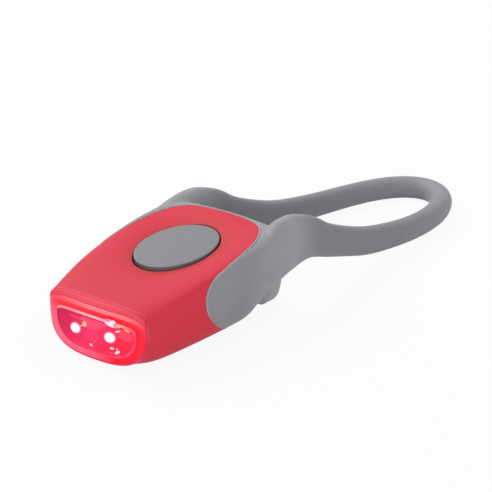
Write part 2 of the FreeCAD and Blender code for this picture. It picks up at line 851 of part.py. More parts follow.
def make_door(outer):
    """Battery door that carries on the curve of the underside."""
    top = door_ledge_height - door_seal_thickness
    plate = door_outline(0, top).common(outer)
    hollow = upright(door_pad_radius + slip, door_floor, top + slip, 0, cells_behind)
    lobe_top = door_outline(top - slip, door_ledge_height).cut(
        upright(door_radius + door_play, 0, parting_height, 0, cells_behind)
    )
    shank = upright(screw_radius + slip, 0, parting_height, 0, door_screw_behind)
    head = upright(screw_head_radius + head_clearance, 0, door_screw_seat, 0, door_screw_behind)
    corner = Vector(-coin_slot_length / 2, cells_behind - coin_slot_width / 2, 0)
    coin_slot = Part.makeBox(coin_slot_length, coin_slot_width, coin_slot_depth, corner)
    return plate.fuse(lobe_top).cut([hollow, shank, head, coin_slot])


def build():
    """All nodes by name, in place behind the lens face."""
    outer = whole_form().common(slab(0, cradle_end, 0, 2 * pod_height))
    cradle = make_cradle(outer)
    led_left, led_right = (make_led(x) for x in led_places())
    leads_left, leads_right = (Part.makeCompound(make_leads(x)) for x in led_places())
    seal_inner = cell_radius + door_opening_margin
    seal_low = door_ledge_height - door_seal_thickness
    door_seal = upright(door_radius, seal_low, door_ledge_height, 0, cells_behind).cut(
        upright(seal_inner, 0, parting_height, 0, cells_behind)
    )
    case_screws = [screw(x, behind, case_seat, case_screw_length) for x, behind in case_screw_places()]
    board_seat = board_underside - carrier_plate
    board_screws = [screw(x, behind, board_seat, board_screw_length) for x, behind in board_screw_places()]
    return {
        "upper_shell": make_upper_shell(outer, cradle),
        "lower_shell": make_lower_shell(outer),
        "strap_cradle": cradle,
        "lens": make_lens(),
        "lens_seal": make_lens_seal(),
        "reflector": make_reflector(),
        "led_left": led_left,
        "led_right": led_right,
        "led_leads_left": leads_left,
        "led_leads_right": leads_right,
        "circuit_board": make_board(),
        "controller_chip": make_chip(),
        "resistors": Part.makeCompound(make_resistors()),
        "switch_housing": make_switch_housing(),
        "switch_plunger": make_switch_plunger(),
        "button_pad": make_button_pad(),
        "button_gasket": make_button_gasket(),
        "battery_carrier": make_carrier(),
        "coin_cell_upper": make_cell(cells_floor + cell_height),
        "coin_cell_lower": make_cell(cells_floor),
        "positive_contact": make_positive_contact(),
        "negative_contact": make_negative_contact(),
        "battery_door": make_door(outer),
        "door_seal": door_seal,
        "door_pad": upright(door_pad_radius, door_floor, cells_floor, 0, cells_behind),
        "door_screw": screw(0, door_screw_behind, door_screw_seat, door_screw_length),
        "case_screws": Part.makeCompound(case_screws),
        "board_screws": Part.makeCompound(board_screws),
    }


os.makedirs("parts", exist_ok=True)
for name, shape in build().items():
    shape.translate(Vector(0, (lens_bulge - loop_end) / 2, 0))
    shape.exportStep("parts/" + name + ".step")
    box = shape.BoundBox
    size = " x ".join(f"{length:.1f}" for length in (box.XLength, box.YLength, box.ZLength))
    print(f"{name}: {size} mm, {len(shape.Solids)} solids, valid {shape.isValid()}, {shape.Volume:.0f} mm3")
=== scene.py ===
"""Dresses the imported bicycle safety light: red pod, lit front lens, grey button and grey strap loop."""

import logging
import math
from dataclasses import dataclass, field, replace
from enum import Enum

import bmesh
import bpy
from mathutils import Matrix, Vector
from mathutils.bvhtree import BVHTree

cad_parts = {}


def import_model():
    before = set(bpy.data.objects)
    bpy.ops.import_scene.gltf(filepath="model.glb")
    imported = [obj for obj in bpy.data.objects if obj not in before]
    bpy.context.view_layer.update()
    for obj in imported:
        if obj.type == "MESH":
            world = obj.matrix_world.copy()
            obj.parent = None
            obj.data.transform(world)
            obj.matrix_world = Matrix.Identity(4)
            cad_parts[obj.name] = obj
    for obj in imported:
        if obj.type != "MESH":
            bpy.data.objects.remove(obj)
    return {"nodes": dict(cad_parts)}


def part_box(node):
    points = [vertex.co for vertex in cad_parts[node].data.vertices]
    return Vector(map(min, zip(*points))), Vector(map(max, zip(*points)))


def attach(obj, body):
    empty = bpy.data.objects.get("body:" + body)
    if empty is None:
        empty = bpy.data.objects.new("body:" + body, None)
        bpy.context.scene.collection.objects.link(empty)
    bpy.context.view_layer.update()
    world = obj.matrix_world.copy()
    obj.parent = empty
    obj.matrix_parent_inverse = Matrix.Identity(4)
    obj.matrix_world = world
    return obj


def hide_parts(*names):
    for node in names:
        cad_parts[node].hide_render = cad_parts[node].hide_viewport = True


MM = 0.001
WELD_DISTANCE = 0.002 * MM
SHARP_DEGREES = 32.0
LOG = logging.getLogger("safety_light")
Point2 = tuple[float, float]
Point3 = tuple[float, float, float]
Stop = tuple[float, str]
Inputs = dict[str | int, object]
Material = bpy.types.Material
Shaded = bpy.types.Material | bpy.types.World
Socket = bpy.types.NodeSocket
Piece = bpy.types.Object
WHITE = (1.0, 1.0, 1.0, 1.0)


class Body(Enum):
    """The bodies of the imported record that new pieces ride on."""

    LIGHT = "light"
    BUTTON = "button"


def linear(hex_colour: str) -> tuple[float, float, float, float]:
    """Turns an sRGB hex colour to the linear values that shaders take.

    Args:
        hex_colour: Six hex digits, such as "d95060".

    Returns:
        Linear red, green and blue, and an alpha of 1.
    """
    channels = []
    for start in (0, 2, 4):
        value = int(hex_colour[start : start + 2], 16) / 255
        channels.append(value / 12.92 if value <= 0.04045 else ((value + 0.055) / 1.055) ** 2.4)
    return (channels[0], channels[1], channels[2], 1.0)


def add_node(
    material: Shaded, kind: str, sockets: Inputs | None = None, **settings: object
) -> bpy.types.Node:
    """Adds one shader node with its settings, and fills or links its inputs.

    Args:
        material: The material or world whose tree gets the node.
        kind: The node's type, such as "ShaderNodeBump".
        sockets: Input name or number to a value, or to the output socket that feeds it.
        **settings: The node's own properties.

    Returns:
        The new node.
    """
    tree = material.node_tree
    node = tree.nodes.new(kind)
    for name, value in settings.items():
        setattr(node, name, value)
    for name, value in (sockets or {}).items():
        if isinstance(value, Socket):
            tree.links.new(value, node.inputs[name])
        else:
            node.inputs[name].default_value = value
    return node


def blank_material(name: str) -> Material:
    """A material with an empty node tree."""
    material = bpy.data.materials.new(name)
    material.use_nodes = True
    material.node_tree.nodes.clear()
    return material


def per_mm(size_mm: float) -> float:
    """Noise scale, in waves per metre, of a pattern whose features are size_mm apart."""
    return 1000.0 / size_mm


def plain(colour: str) -> tuple[Stop, ...]:
    """The stops of a surface that has one colour all over."""
    return ((-60.0, colour), (60.0, colour))


def graded(material: Material, place: Socket, axis: Point3, stops: tuple[Stop, ...]) -> Socket:
    """Grades a colour along a direction on the object.

    Args:
        material: The material that gets the nodes.
        place: The object's own coordinates, in metres.
        axis: The direction, which needn't be of length 1.
        stops: Distances along it in millimetres, rising, each with its colour.

    Returns:
        The graded colour.
    """
    first, last = stops[0][0], stops[-1][0]
    along = add_node(material, "ShaderNodeVectorMath", {0: place, 1: axis}, operation="DOT_PRODUCT")
    ends = {"Value": along.outputs["Value"], "From Min": first * MM, "From Max": last * MM}
    share = add_node(material, "ShaderNodeMapRange", ends)
    ramp = add_node(material, "ShaderNodeValToRGB", {"Fac": share.outputs["Result"]})
    elements = ramp.color_ramp.elements
    while len(elements) < len(stops):
        elements.new(0.5)
    for element, (distance, colour) in zip(elements, stops):
        element.position = (distance - first) / (last - first)
        element.color = linear(colour)
    return ramp.outputs["Color"]


def noise_between(material: Material, noise: Inputs, low: float, high: float) -> tuple[Socket, Socket]:
    """Adds noise, and a value that follows it between two limits.

    Args:
        material: The material that gets the nodes.
        noise: The noise's inputs.
        low: The value where the noise is least.
        high: The value where it is most.

    Returns:
        The noise itself and the value.
    """
    height = add_node(material, "ShaderNodeTexNoise", noise).outputs["Fac"]
    value = add_node(material, "ShaderNodeMapRange", {"Value": height, "To Min": low, "To Max": high})
    return height, value.outputs["Result"]


def fading(value: Socket, near: float, far: float) -> Inputs:
    """The inputs of a map range that falls from 1 at near to 0 at far."""
    return {"Value": value, "From Min": near, "From Max": far, "To Min": 1.0, "To Max": 0.0}


def surfaced(material: Material, inputs: Inputs) -> Material:
    """Ends a material with its surface shader and its output.

    Args:
        material: The material that gets the nodes.
        inputs: The shader's inputs.

    Returns:
        The finished material.
    """
    surface = add_node(material, "ShaderNodeBsdfPrincipled", inputs)
    add_node(material, "ShaderNodeOutputMaterial", {"Surface": surface.outputs["BSDF"]})
    return material


def seen_rays(material: Shaded) -> Socket:
    """A value that is 1 on rays from the camera, through clear pieces or off glossy ones, and else 0."""
    path = add_node(material, "ShaderNodeLightPath").outputs
    direct = {0: path["Is Camera Ray"], 1: path["Is Transmission Ray"]}
    seen = add_node(material, "ShaderNodeMath", direct, operation="ADD", use_clamp=True)
    mirrored = {0: seen.outputs[0], 1: path["Is Glossy Ray"]}
    return add_node(material, "ShaderNodeMath", mirrored, operation="ADD", use_clamp=True).outputs[0]


@dataclass(frozen=True)
class MouldedSurface:
    """A moulded plastic, rubber or silicone with a fine mould texture and faint unevenness."""

    name: str
    stops: tuple[Stop, ...]
    roughness: float
    ior: float
    grain_mm: float = 0.3
    grain_depth_mm: float = 0.006
    polish_spread: float = 0.06
    cloud_mm: float = 9.0
    cloud_share: float = 0.06
    sheen: float = 0.0
    specular: float = 0.5
    axis: Point3 = (0.0, 1.0, 0.0)
    # Colour of painted shade in an oval round the button, if any, with its middle, size and fade.
    button_shade: str | None = None
    button_shade_centre_mm: Point2 = (0.0, -33.5)
    button_shade_half_mm: Point2 = (7.6, 10.0)
    button_shade_reach: Point2 = (1.04, 1.42)

    def shaded_round_button(self, material: Material, place: Socket, unshaded: Socket) -> Socket:
        """Paints shade round the button: the colour turns duller in an oval ring there.

        Args:
            material: The material that gets the nodes.
            place: The object's own coordinates, in metres.
            unshaded: The colour away from the button.

        Returns:
            The colour with the painted shade on it.
        """
        (across, along), (wide, long) = self.button_shade_centre_mm, self.button_shade_half_mm
        oval = add_node(
            material,
            "ShaderNodeVectorMath",
            {0: place, 1: (per_mm(wide), per_mm(long), 0.0), 2: (-across / wide, -along / long, 0.0)},
            operation="MULTIPLY_ADD",
        )
        reach = add_node(material, "ShaderNodeVectorMath", {0: oval.outputs["Vector"]}, operation="LENGTH")
        fade = fading(reach.outputs["Value"], *self.button_shade_reach)
        share = add_node(material, "ShaderNodeMapRange", fade, interpolation_type="SMOOTHSTEP")
        colours = {"Factor": share.outputs["Result"], 6: unshaded, 7: linear(self.button_shade)}
        return add_node(material, "ShaderNodeMix", colours, data_type="RGBA").outputs[2]

    def make(self) -> Material:
        """Builds the material.

        Returns:
            The finished material.
        """
        material = blank_material(self.name)
        place = add_node(material, "ShaderNodeTexCoord").outputs["Object"]
        cloud = {"Vector": place, "Scale": per_mm(self.cloud_mm), "Detail": 3.0, "Roughness": 0.55}
        shade = noise_between(material, cloud, 1.0 - self.cloud_share, 1.0 + self.cloud_share)[1]
        colour = graded(material, place, self.axis, self.stops)
        if self.button_shade:
            colour = self.shaded_round_button(material, place, colour)
        tint = add_node(material, "ShaderNodeVectorMath", {0: colour, "Scale": shade}, operation="SCALE")
        mould = {"Vector": place, "Scale": per_mm(self.grain_mm), "Detail": 2.0, "Roughness": 0.6}
        spread = self.polish_spread
        grain, polish = noise_between(material, mould, self.roughness - spread, self.roughness + spread)
        relief = {"Height": grain, "Strength": 1.0, "Distance": self.grain_depth_mm * MM}
        return surfaced(
            material,
            {
                "Base Color": tint.outputs["Vector"],
                "Roughness": polish,
                "IOR": self.ior,
                "Specular IOR Level": self.specular,
                "Normal": add_node(material, "ShaderNodeBump", relief).outputs["Normal"],
                "Sheen Weight": self.sheen,
                "Sheen Roughness": 0.5,
            },
        )


@dataclass(frozen=True)
class PlatedMetal:
    """A sheet or turned steel part under a thin plating, with fine drawing or turning marks."""

    name: str
    colour: str
    roughness: float
    mark_mm: float
    mark_axis: int = 2
    mark_slenderness: float = 20.0
    mark_depth_mm: float = 0.01
    smoother: float = 0.08
    rougher: float = 0.12

    def make(self) -> Material:
        """Builds the material.

        Returns:
            The finished material.
        """
        material = blank_material(self.name)
        place = add_node(material, "ShaderNodeTexCoord").outputs["Object"]
        stretch = [per_mm(self.mark_mm)] * 3
        stretch[self.mark_axis] = per_mm(self.mark_mm * self.mark_slenderness)
        marks = add_node(material, "ShaderNodeMapping", {"Vector": place, "Scale": stretch})
        noise = {"Vector": marks.outputs["Vector"], "Scale": 1.0, "Detail": 3.0}
        low, high = self.roughness - self.smoother, self.roughness + self.rougher
        drawn, polish = noise_between(material, noise, low, high)
        relief = {"Height": drawn, "Strength": 0.4, "Distance": self.mark_depth_mm * MM}
        return surfaced(
            material,
            {
                "Base Color": linear(self.colour),
                "Metallic": 1.0,
                "Roughness": polish,
                "Normal": add_node(material, "ShaderNodeBump", relief).outputs["Normal"],
            },
        )


@dataclass(frozen=True)
class LitPlastic:
    """A clear moulded plastic that the diodes behind it light up from inside."""

    name: str
    stops: tuple[Stop, ...]
    axis: Point3 = (1.0, 0.0, 0.0)
    roughness: float = 0.12
    ior: float = 1.585
    alpha: float = 1.0
    body_share: float = 0.3
    glow_strength: float = 0.72
    specular: float = 0.1
    flow_mm: float = 5.0
    flow_share: float = 0.1
    ripple_mm: float = 0.04

    def make(self) -> Material:
        """Builds the material.

        Returns:
            The finished material.
        """
        material = blank_material(self.name)
        place = add_node(material, "ShaderNodeTexCoord").outputs["Object"]
        waves = {"Vector": place, "Scale": per_mm(self.flow_mm), "Detail": 2.0, "Distortion": 1.0}
        flow, shade = noise_between(material, waves, 1.0 - self.flow_share, 1.0 + self.flow_share)
        colour = graded(material, place, self.axis, self.stops)
        light = add_node(material, "ShaderNodeVectorMath", {0: colour, "Scale": shade}, operation="SCALE")
        glow = light.outputs["Vector"]
        dimmed = {0: glow, "Scale": self.body_share}
        body = add_node(material, "ShaderNodeVectorMath", dimmed, operation="SCALE")
        relief = {"Height": flow, "Strength": 0.5, "Distance": self.ripple_mm * MM}
        if self.alpha < 1.0:
            material.surface_render_method = "BLENDED"
        return surfaced(
            material,
            {
                "Base Color": body.outputs["Vector"],
                "Roughness": self.roughness,
                "IOR": self.ior,
                "Alpha": self.alpha,
                "Specular IOR Level": self.specular,
                "Normal": add_node(material, "ShaderNodeBump", relief).outputs["Normal"],
                "Emission Color": glow,
                "Emission Strength": self.glow_strength,
            },
        )


@dataclass(frozen=True)
class LitSpot:
    """A spot of clear plastic that shines with a diode's light and is dark red by itself."""

    name: str
    colour: str
    strength: float
    body: str = "30060c"

    def make(self) -> Material:
        """Builds the material.

        Returns:
            The finished material.
        """
        return surfaced(
            blank_material(self.name),
            {
                "Base Color": linear(self.body),
                "Roughness": 0.2,
                "IOR": 1.53,
                "Specular IOR Level": 0.2,
                "Emission Color": linear(self.colour),
                "Emission Strength": self.strength,
            },
        )


@dataclass(frozen=True)
class SolderMask:
    """Glass-epoxy board under green solder mask, with tracks showing through as a lighter pattern."""

    name: str = "solder_mask_on_glass_epoxy"
    colour: str = "0f4a2a"
    track_colour: str = "1d6e3c"
    track_pitch_mm: float = 1.27
    track_height_mm: float = 0.035
    track_share: Point2 = (0.10, 0.14)

    def make(self) -> Material:
        """Builds the material.

        Returns:
            The finished material.
        """
        material = blank_material(self.name)
        place = add_node(material, "ShaderNodeTexCoord").outputs["Object"]
        cells = {"Vector": place, "Scale": per_mm(self.track_pitch_mm), "Randomness": 0.35}
        edges = add_node(material, "ShaderNodeTexVoronoi", cells, feature="DISTANCE_TO_EDGE")
        fade = fading(edges.outputs["Distance"], *self.track_share)
        track = add_node(material, "ShaderNodeMapRange", fade).outputs["Result"]
        colours = {"Factor": track, 6: linear(self.colour), 7: linear(self.track_colour)}
        relief = {"Height": track, "Strength": 0.6, "Distance": self.track_height_mm * MM}
        return surfaced(
            material,
            {
                "Base Color": add_node(material, "ShaderNodeMix", colours, data_type="RGBA").outputs[2],
                "Roughness": 0.32,
                "IOR": 1.5,
                "Normal": add_node(material, "ShaderNodeBump", relief).outputs["Normal"],
            },
        )


@dataclass
class Palette:
    """Every finish of the light, each made once."""

    # Acrylonitrile-butadiene-styrene in red, moulded against a spark-eroded cavity: its fine matte
    # grain breaks up the highlight, so the pod looks soft and evenly lit. The real grain is about
    # 0.05 mm and is drawn at 0.3 mm to show at all.
    shell: MouldedSurface = MouldedSurface(
        "moulded_abs_red",
        plain("d93144"),
        roughness=0.62,
        ior=1.52,
        cloud_share=0.02,
        specular=0.28,
        # Painted shade round the button: an oval of duller red.
        button_shade="cb343f",
    )
    # Thin front lip of the same shell, in a paler red: painted light for the lamp behind it brightening the
    # lip.
    shell_nose: MouldedSurface = replace(
        shell, name="moulded_abs_red_lip_painted_light", stops=plain("f24c60"), button_shade=None
    )
    # Grey silicone rubber moulded over the pod: soft, slightly waxy and matte. Its grey is graded along its
    # length with painted light and shade: paler on the flank and round the lug, darker in a band across the
    # flank and along the limbs, paler again at the loop's end. Dust and mould flow leave it a little
    # cloudy.
    strap: MouldedSurface = MouldedSurface(
        "moulded_silicone_grey",
        # Stops of painted light and shade, from the flank's front to the loop's end.
        (
            (-42.5, "8b8d92"),
            (-38.0, "8f9196"),
            (-32.0, "8a8c90"),
            (-24.0, "96969b"),
            (-14.0, "9d9da2"),
            (-5.0, "808186"),
            (20.0, "7e8085"),
            (34.0, "848489"),
            (56.0, "929196"),
        ),
        roughness=0.55,
        ior=1.41,
        grain_mm=0.35,
        grain_depth_mm=0.004,
        cloud_mm=6.0,
        cloud_share=0.07,
        sheen=0.04,
    )
    # The same silicone in the pad, with a silkier skin from a polished cavity.
    pad: MouldedSurface = MouldedSurface(
        "moulded_silicone_pad",
        plain("818387"),
        roughness=0.5,
        ior=1.41,
        grain_depth_mm=0.003,
        cloud_share=0.03,
    )
    # Side of the pad: the same silicone against a coarser cavity wall, its darker grey a painted shade from
    # the gap beside it.
    pad_side: MouldedSurface = MouldedSurface(
        "moulded_silicone_pad_side_shade",
        plain("66696c"),
        roughness=0.62,
        ior=1.41,
        cloud_share=0.1,
        specular=0.3,
    )
    # Rounded lip where the silicone ends on the shell, in a paler grey: a painted highlight along the edge.
    strap_lip: MouldedSurface = MouldedSurface(
        "moulded_silicone_lip_highlight",
        plain("9c9da2"),
        roughness=0.5,
        ior=1.41,
        grain_mm=0.35,
        grain_depth_mm=0.003,
        cloud_share=0.05,
    )
    # Black nitrile rubber of the seals: dull and slightly dusty.
    seal: MouldedSurface = MouldedSurface(
        "moulded_nitrile_black",
        plain("1d1d1e"),
        roughness=0.7,
        ior=1.48,
        grain_mm=0.4,
    )
    # Glass-filled nylon of the carrier, chip and switch: dark grey with a faintly speckled skin.
    nylon: MouldedSurface = MouldedSurface(
        "moulded_nylon_black",
        plain("262729"),
        roughness=0.52,
        ior=1.53,
        grain_mm=0.25,
        grain_depth_mm=0.005,
        cloud_share=0.15,
    )
    # Rounded outer edge of the polycarbonate lens: it pipes the light outwards and looks pale pink above.
    lens_edge: LitPlastic = LitPlastic(
        "polished_polycarbonate_edge",
        (
            (1.5, "e42c54"),
            (3.2, "ff1c3c"),
            (6.6, "ff2846"),
            (8.2, "ff5060"),
            (9.4, "ff747f"),
            (12.0, "ff7c88"),
            (14.4, "ff4256"),
        ),
        axis=(-0.25, 0.0, 1.0),
    )
    # Face of the rim, its glow painted light: saturated red above and to the right, paler where it turns to
    # the left and down.
    lens_band: LitPlastic = LitPlastic(
        "polished_polycarbonate_rim",
        ((-12.0, "ff1030"), (-5.5, "fb1c2c"), (-4.6, "ff102c"), (-1.6, "fc6480"), (2.0, "fa7088")),
        axis=(-0.5, 0.0, -0.87),
    )
    # Chamfer round the pane: its upper side catches the sky and is nearly white.
    lens_ridge: LitPlastic = LitPlastic(
        "polished_polycarbonate_chamfer",
        (
            (2.5, "fb4c74"),
            (6.4, "ff3c5c"),
            (8.4, "ff5c78"),
            (9.2, "ffa8b8"),
            (10.3, "ffbccb"),
            (11.4, "ff7288"),
        ),
        axis=(-0.14, 0.0, 1.0),
    )
    # Foot of the chamfer inside the pane: dark above, because it faces down, and pale below.
    pane_edge: LitPlastic = LitPlastic(
        "polished_polycarbonate_foot",
        ((2.5, "f93c66"), (6.0, "f0285c"), (8.6, "dc1050"), (10.0, "c00048")),
        axis=(-0.12, 0.0, 1.0),
    )
    # The clear pane of the same polycarbonate: glossy, and filled with the red light behind it.
    pane: LitPlastic = LitPlastic(
        "polished_polycarbonate_pane",
        ((-12.0, "cc0c4c"), (-8.0, "e41c56"), (-3.0, "ff3066"), (2.0, "ff1c48"), (7.0, "ff1438")),
        axis=(0.9, 0.0, -0.4),
        alpha=0.85,
        roughness=0.06,
        flow_mm=4.0,
        flow_share=0.16,
    )
    # Moulded reflector with bright metal on it: lit by the diodes until it is all red glow.
    reflector: LitPlastic = LitPlastic(
        "metallised_reflector_lit",
        ((-12.0, "e03070"), (0.0, "ff5a84"), (12.0, "ff3c60")),
        roughness=0.25,
        ior=1.5,
        flow_mm=2.0,
        flow_share=0.2,
        ripple_mm=0.1,
        glow_strength=0.8,
    )
    # Cast epoxy of the diodes, lit through and through.
    diode: LitPlastic = LitPlastic(
        "cast_epoxy_lit",
        plain("ff8aa0"),
        alpha=0.85,
        roughness=0.1,
        ior=1.53,
        glow_strength=1.2,
    )
    # Collimating bump in front of each diode, which magnifies the die behind it to a white disc.
    spot: LitSpot = LitSpot("lit_bump_core", "ffffff", 3.0)
    # Flank of the bump, where the disc starts to fade.
    spot_flank: LitSpot = LitSpot("lit_bump_flank", "ffdbe6", 1.0)
    # Foot of the bump: only a soft pink halo.
    spot_foot: LitSpot = LitSpot("lit_bump_foot", "ff7fa6", 0.95)
    # Stray reflections of the dies in the pane's moulded facets: pale pinkish white.
    glint: LitSpot = LitSpot("facet_glint_white", "fde6f2", 1.0)
    # Dimmer spill of light round a bright facet.
    glint_soft: LitSpot = LitSpot("facet_glint_spill", "ff86ab", 0.9)
    # The same where a facet splits the light: yellow.
    glint_yellow: LitSpot = LitSpot("facet_glint_yellow", "ffd35c", 0.95)
    # Thin pink line along the pane: a painted highlight.
    facet_line: LitSpot = LitSpot("highlight_line_pink", "ff6e90", 0.85)
    # Nickel over spring steel of the contacts: pale and warm, with fine marks from the drawing.
    nickel: PlatedMetal = PlatedMetal("nickel_plated_steel", "c9c4ba", 0.3, 0.2, 0)
    # Drawn stainless case of the coin cells, whose fine marks read as a soft sheen.
    cell: PlatedMetal = PlatedMetal("drawn_stainless_cell", "c4c5c8", 0.28, 0.25, 1)
    # Tin on the diodes' leads: bright and slightly blue.
    tin: PlatedMetal = PlatedMetal("tinned_steel_leads", "cfd2d6", 0.35, 0.15, 1)
    # Zinc-plated screws: greyer, with a duller passivated skin.
    zinc: PlatedMetal = PlatedMetal("zinc_plated_screws", "a9abae", 0.38, 0.15, 2)
    # Printed board, whose green lacquer lies over the copper.
    board: SolderMask = SolderMask()
    made: dict[str, Material] = field(default_factory=dict)

    def get(self, finish: str) -> Material:
        """The material of a finish, by its field's name."""
        if finish not in self.made:
            self.made[finish] = getattr(self, finish).make()
        return self.made[finish]


def share_between(value: float, start: float, end: float) -> float:
    """How far a value has come from start to end, held between 0 and 1."""
    return min(1.0, max(0.0, (value - start) / (end - start)))


def eased(share: float) -> float:
    """Turns a steady share from 0 to 1 into one that starts and ends gently."""
    return share * share * (3 - 2 * share)


def turns(count: int) -> list[float]:
    """Angles spread evenly over a full turn, in radians."""
    return [2 * math.pi * index / count for index in range(count)]


def rounded(radius: float, steps: int = 6) -> list[Point2]:
    """The quarter round of an edge.

    Args:
        radius: Its radius.
        steps: How many chords it has.

    Returns:
        Pairs of distances from its two sides, from (0, radius) to (radius, 0).
    """
    angles = [math.pi / 2 * step / steps for step in range(steps + 1)]
    return [(radius * (1 - math.cos(angle)), radius * (1 - math.sin(angle))) for angle in angles]


def closed_curve(points: list[Vector], steps: int) -> list[Vector]:
    """Smooth closed line through points in a plane or in space.

    Args:
        points: Points that it passes through, in order.
        steps: How many points it gives between two of them.

    Returns:
        The line's points.
    """
    line = []
    count = len(points)
    for index in range(count):
        before, start, end, after = (points[(index + shift) % count] for shift in (-1, 0, 1, 2))
        slope = end - before
        curve = 2 * before - 5 * start + 4 * end - after
        twist = 3 * start - before - 3 * end + after
        for step in range(steps):
            t = step / steps
            line.append(0.5 * (2 * start + slope * t + curve * t * t + twist * t * t * t))
    return line


def skin_rings(
    name: str,
    rings: list[list[Point3]],
    first_cap: bool = True,
    last_cap: bool = True,
    slots: list[int] | None = None,
) -> Piece:
    """Makes a mesh that joins closed rings of equal point counts one after another.

    Args:
        name: The new piece's name.
        rings: The rings' points in metres.
        first_cap: Whether the first ring is closed by a fan.
        last_cap: Whether the last ring is closed by a fan.
        slots: The material slot of each strip between two rings, if they differ.

    Returns:
        The new object, linked to the scene.
    """
    work = bmesh.new()
    loops = [[work.verts.new(point) for point in ring] for ring in rings]
    count = len(loops[0])
    for strip, (ring, following) in enumerate(zip(loops, loops[1:])):
        for index in range(count):
            after = (index + 1) % count
            face = work.faces.new((ring[index], ring[after], following[after], following[index]))
            face.material_index = slots[strip] if slots else 0
    for wanted, ring, strip in ((first_cap, loops[0], 0), (last_cap, loops[-1], -1)):
        if wanted:
            centre = work.verts.new(sum((vert.co for vert in ring), Vector()) / count)
            for index in range(count):
                face = work.faces.new((ring[index], ring[(index + 1) % count], centre))
                face.material_index = slots[strip] if slots else 0
    bmesh.ops.recalc_face_normals(work, faces=work.faces)
    mesh = bpy.data.meshes.new(name)
    work.to_mesh(mesh)
    work.free()
    mesh.shade_smooth()
    obj = bpy.data.objects.new(name, mesh)
    bpy.context.scene.collection.objects.link(obj)
    return obj


@dataclass
class Studio:
    """Camera at the photograph's angle, soft light and a white floor that keeps the shadow."""

    look_at: Point3 = (0.0, -0.011125, 0.00968)
    direction: Point3 = (0.57536, -0.72514, 0.37832)
    distance: float = 0.4401
    focal_mm: float = 153.495
    sensor_mm: float = 36.0
    clip_start: float = 0.01
    floor_half: float = 1.5
    floor_drop: float = 0.02
    sky_strength: float = 0.6
    key_place: Point3 = (-0.42, 0.02, 0.52)
    key_side: float = 0.36
    key_watts: float = 2.2
    fill_place: Point3 = (0.38, -0.44, 0.09)
    fill_side: float = 0.3
    fill_watts: float = 0.9
    white_share: float = 0.92

    def camera(self) -> None:
        """Adds the camera and makes it the scene's own."""
        data = bpy.data.cameras.new("photo_view")
        data.lens = self.focal_mm
        data.sensor_width = self.sensor_mm
        data.clip_start = self.clip_start
        camera = bpy.data.objects.new("photo_view", data)
        bpy.context.scene.collection.objects.link(camera)
        toward = Vector(self.direction).normalized()
        camera.location = Vector(self.look_at) + toward * self.distance
        camera.rotation_euler = toward.to_track_quat("Z", "Y").to_euler()
        bpy.context.scene.camera = camera

    def lamp(self, name: str, place: Point3, side: float, watts: float) -> None:
        """Adds a square softbox that faces the light's middle.

        Args:
            name: The lamp's name.
            place: Where it hangs, in metres.
            side: The length of its side, in metres.
            watts: Its power.
        """
        data = bpy.data.lights.new(name, "AREA")
        data.size = side
        data.energy = watts
        lamp = bpy.data.objects.new(name, data)
        bpy.context.scene.collection.objects.link(lamp)
        lamp.location = place
        lamp.rotation_euler = (Vector(place) - Vector(self.look_at)).to_track_quat("Z", "Y").to_euler()

    def sky(self) -> None:
        """Fills the world with plain light, and shows white where the background is seen."""
        world = bpy.data.worlds.new("studio")
        bpy.context.scene.world = world
        world.use_nodes = True
        world.node_tree.nodes.clear()
        ambient = add_node(world, "ShaderNodeBackground", {"Color": WHITE, "Strength": self.sky_strength})
        white = add_node(world, "ShaderNodeBackground", {"Color": WHITE, "Strength": 1.0})
        both = {0: seen_rays(world), 1: ambient.outputs[0], 2: white.outputs[0]}
        mixed = add_node(world, "ShaderNodeMixShader", both)
        add_node(world, "ShaderNodeOutputWorld", {"Surface": mixed.outputs[0]})

    def floor(self) -> None:
        """Lays the white floor."""
        half = self.floor_half
        mesh = bpy.data.meshes.new("floor")
        square = [(-half, -half, 0), (half, -half, 0), (half, half, 0), (-half, half, 0)]
        mesh.from_pydata(square, [], [(0, 1, 2, 3)])
        floor = bpy.data.objects.new("floor", mesh)
        bpy.context.scene.collection.objects.link(floor)
        floor.location = (0, 0, -self.floor_drop * MM)
        material = blank_material("matt_white_paper")
        seen = {0: seen_rays(material), 1: self.white_share}
        share = add_node(material, "ShaderNodeMath", seen, operation="MULTIPLY")
        paper = add_node(material, "ShaderNodeBsdfDiffuse", {"Color": linear("ebebeb")})
        white = add_node(material, "ShaderNodeEmission", {"Color": WHITE, "Strength": 1.0})
        both = {0: share.outputs[0], 1: paper.outputs[0], 2: white.outputs[0]}
        mixed = add_node(material, "ShaderNodeMixShader", both)
        add_node(material, "ShaderNodeOutputMaterial", {"Surface": mixed.outputs[0]})
        mesh.materials.append(material)

    def build(self) -> None:
        """Sets up the whole studio."""
        bpy.context.scene.view_settings.view_transform = "Standard"
        self.camera()
        self.sky()
        self.floor()
        self.lamp("key_softbox", self.key_place, self.key_side, self.key_watts)
        self.lamp("fill_softbox", self.fill_place, self.fill_side, self.fill_watts)


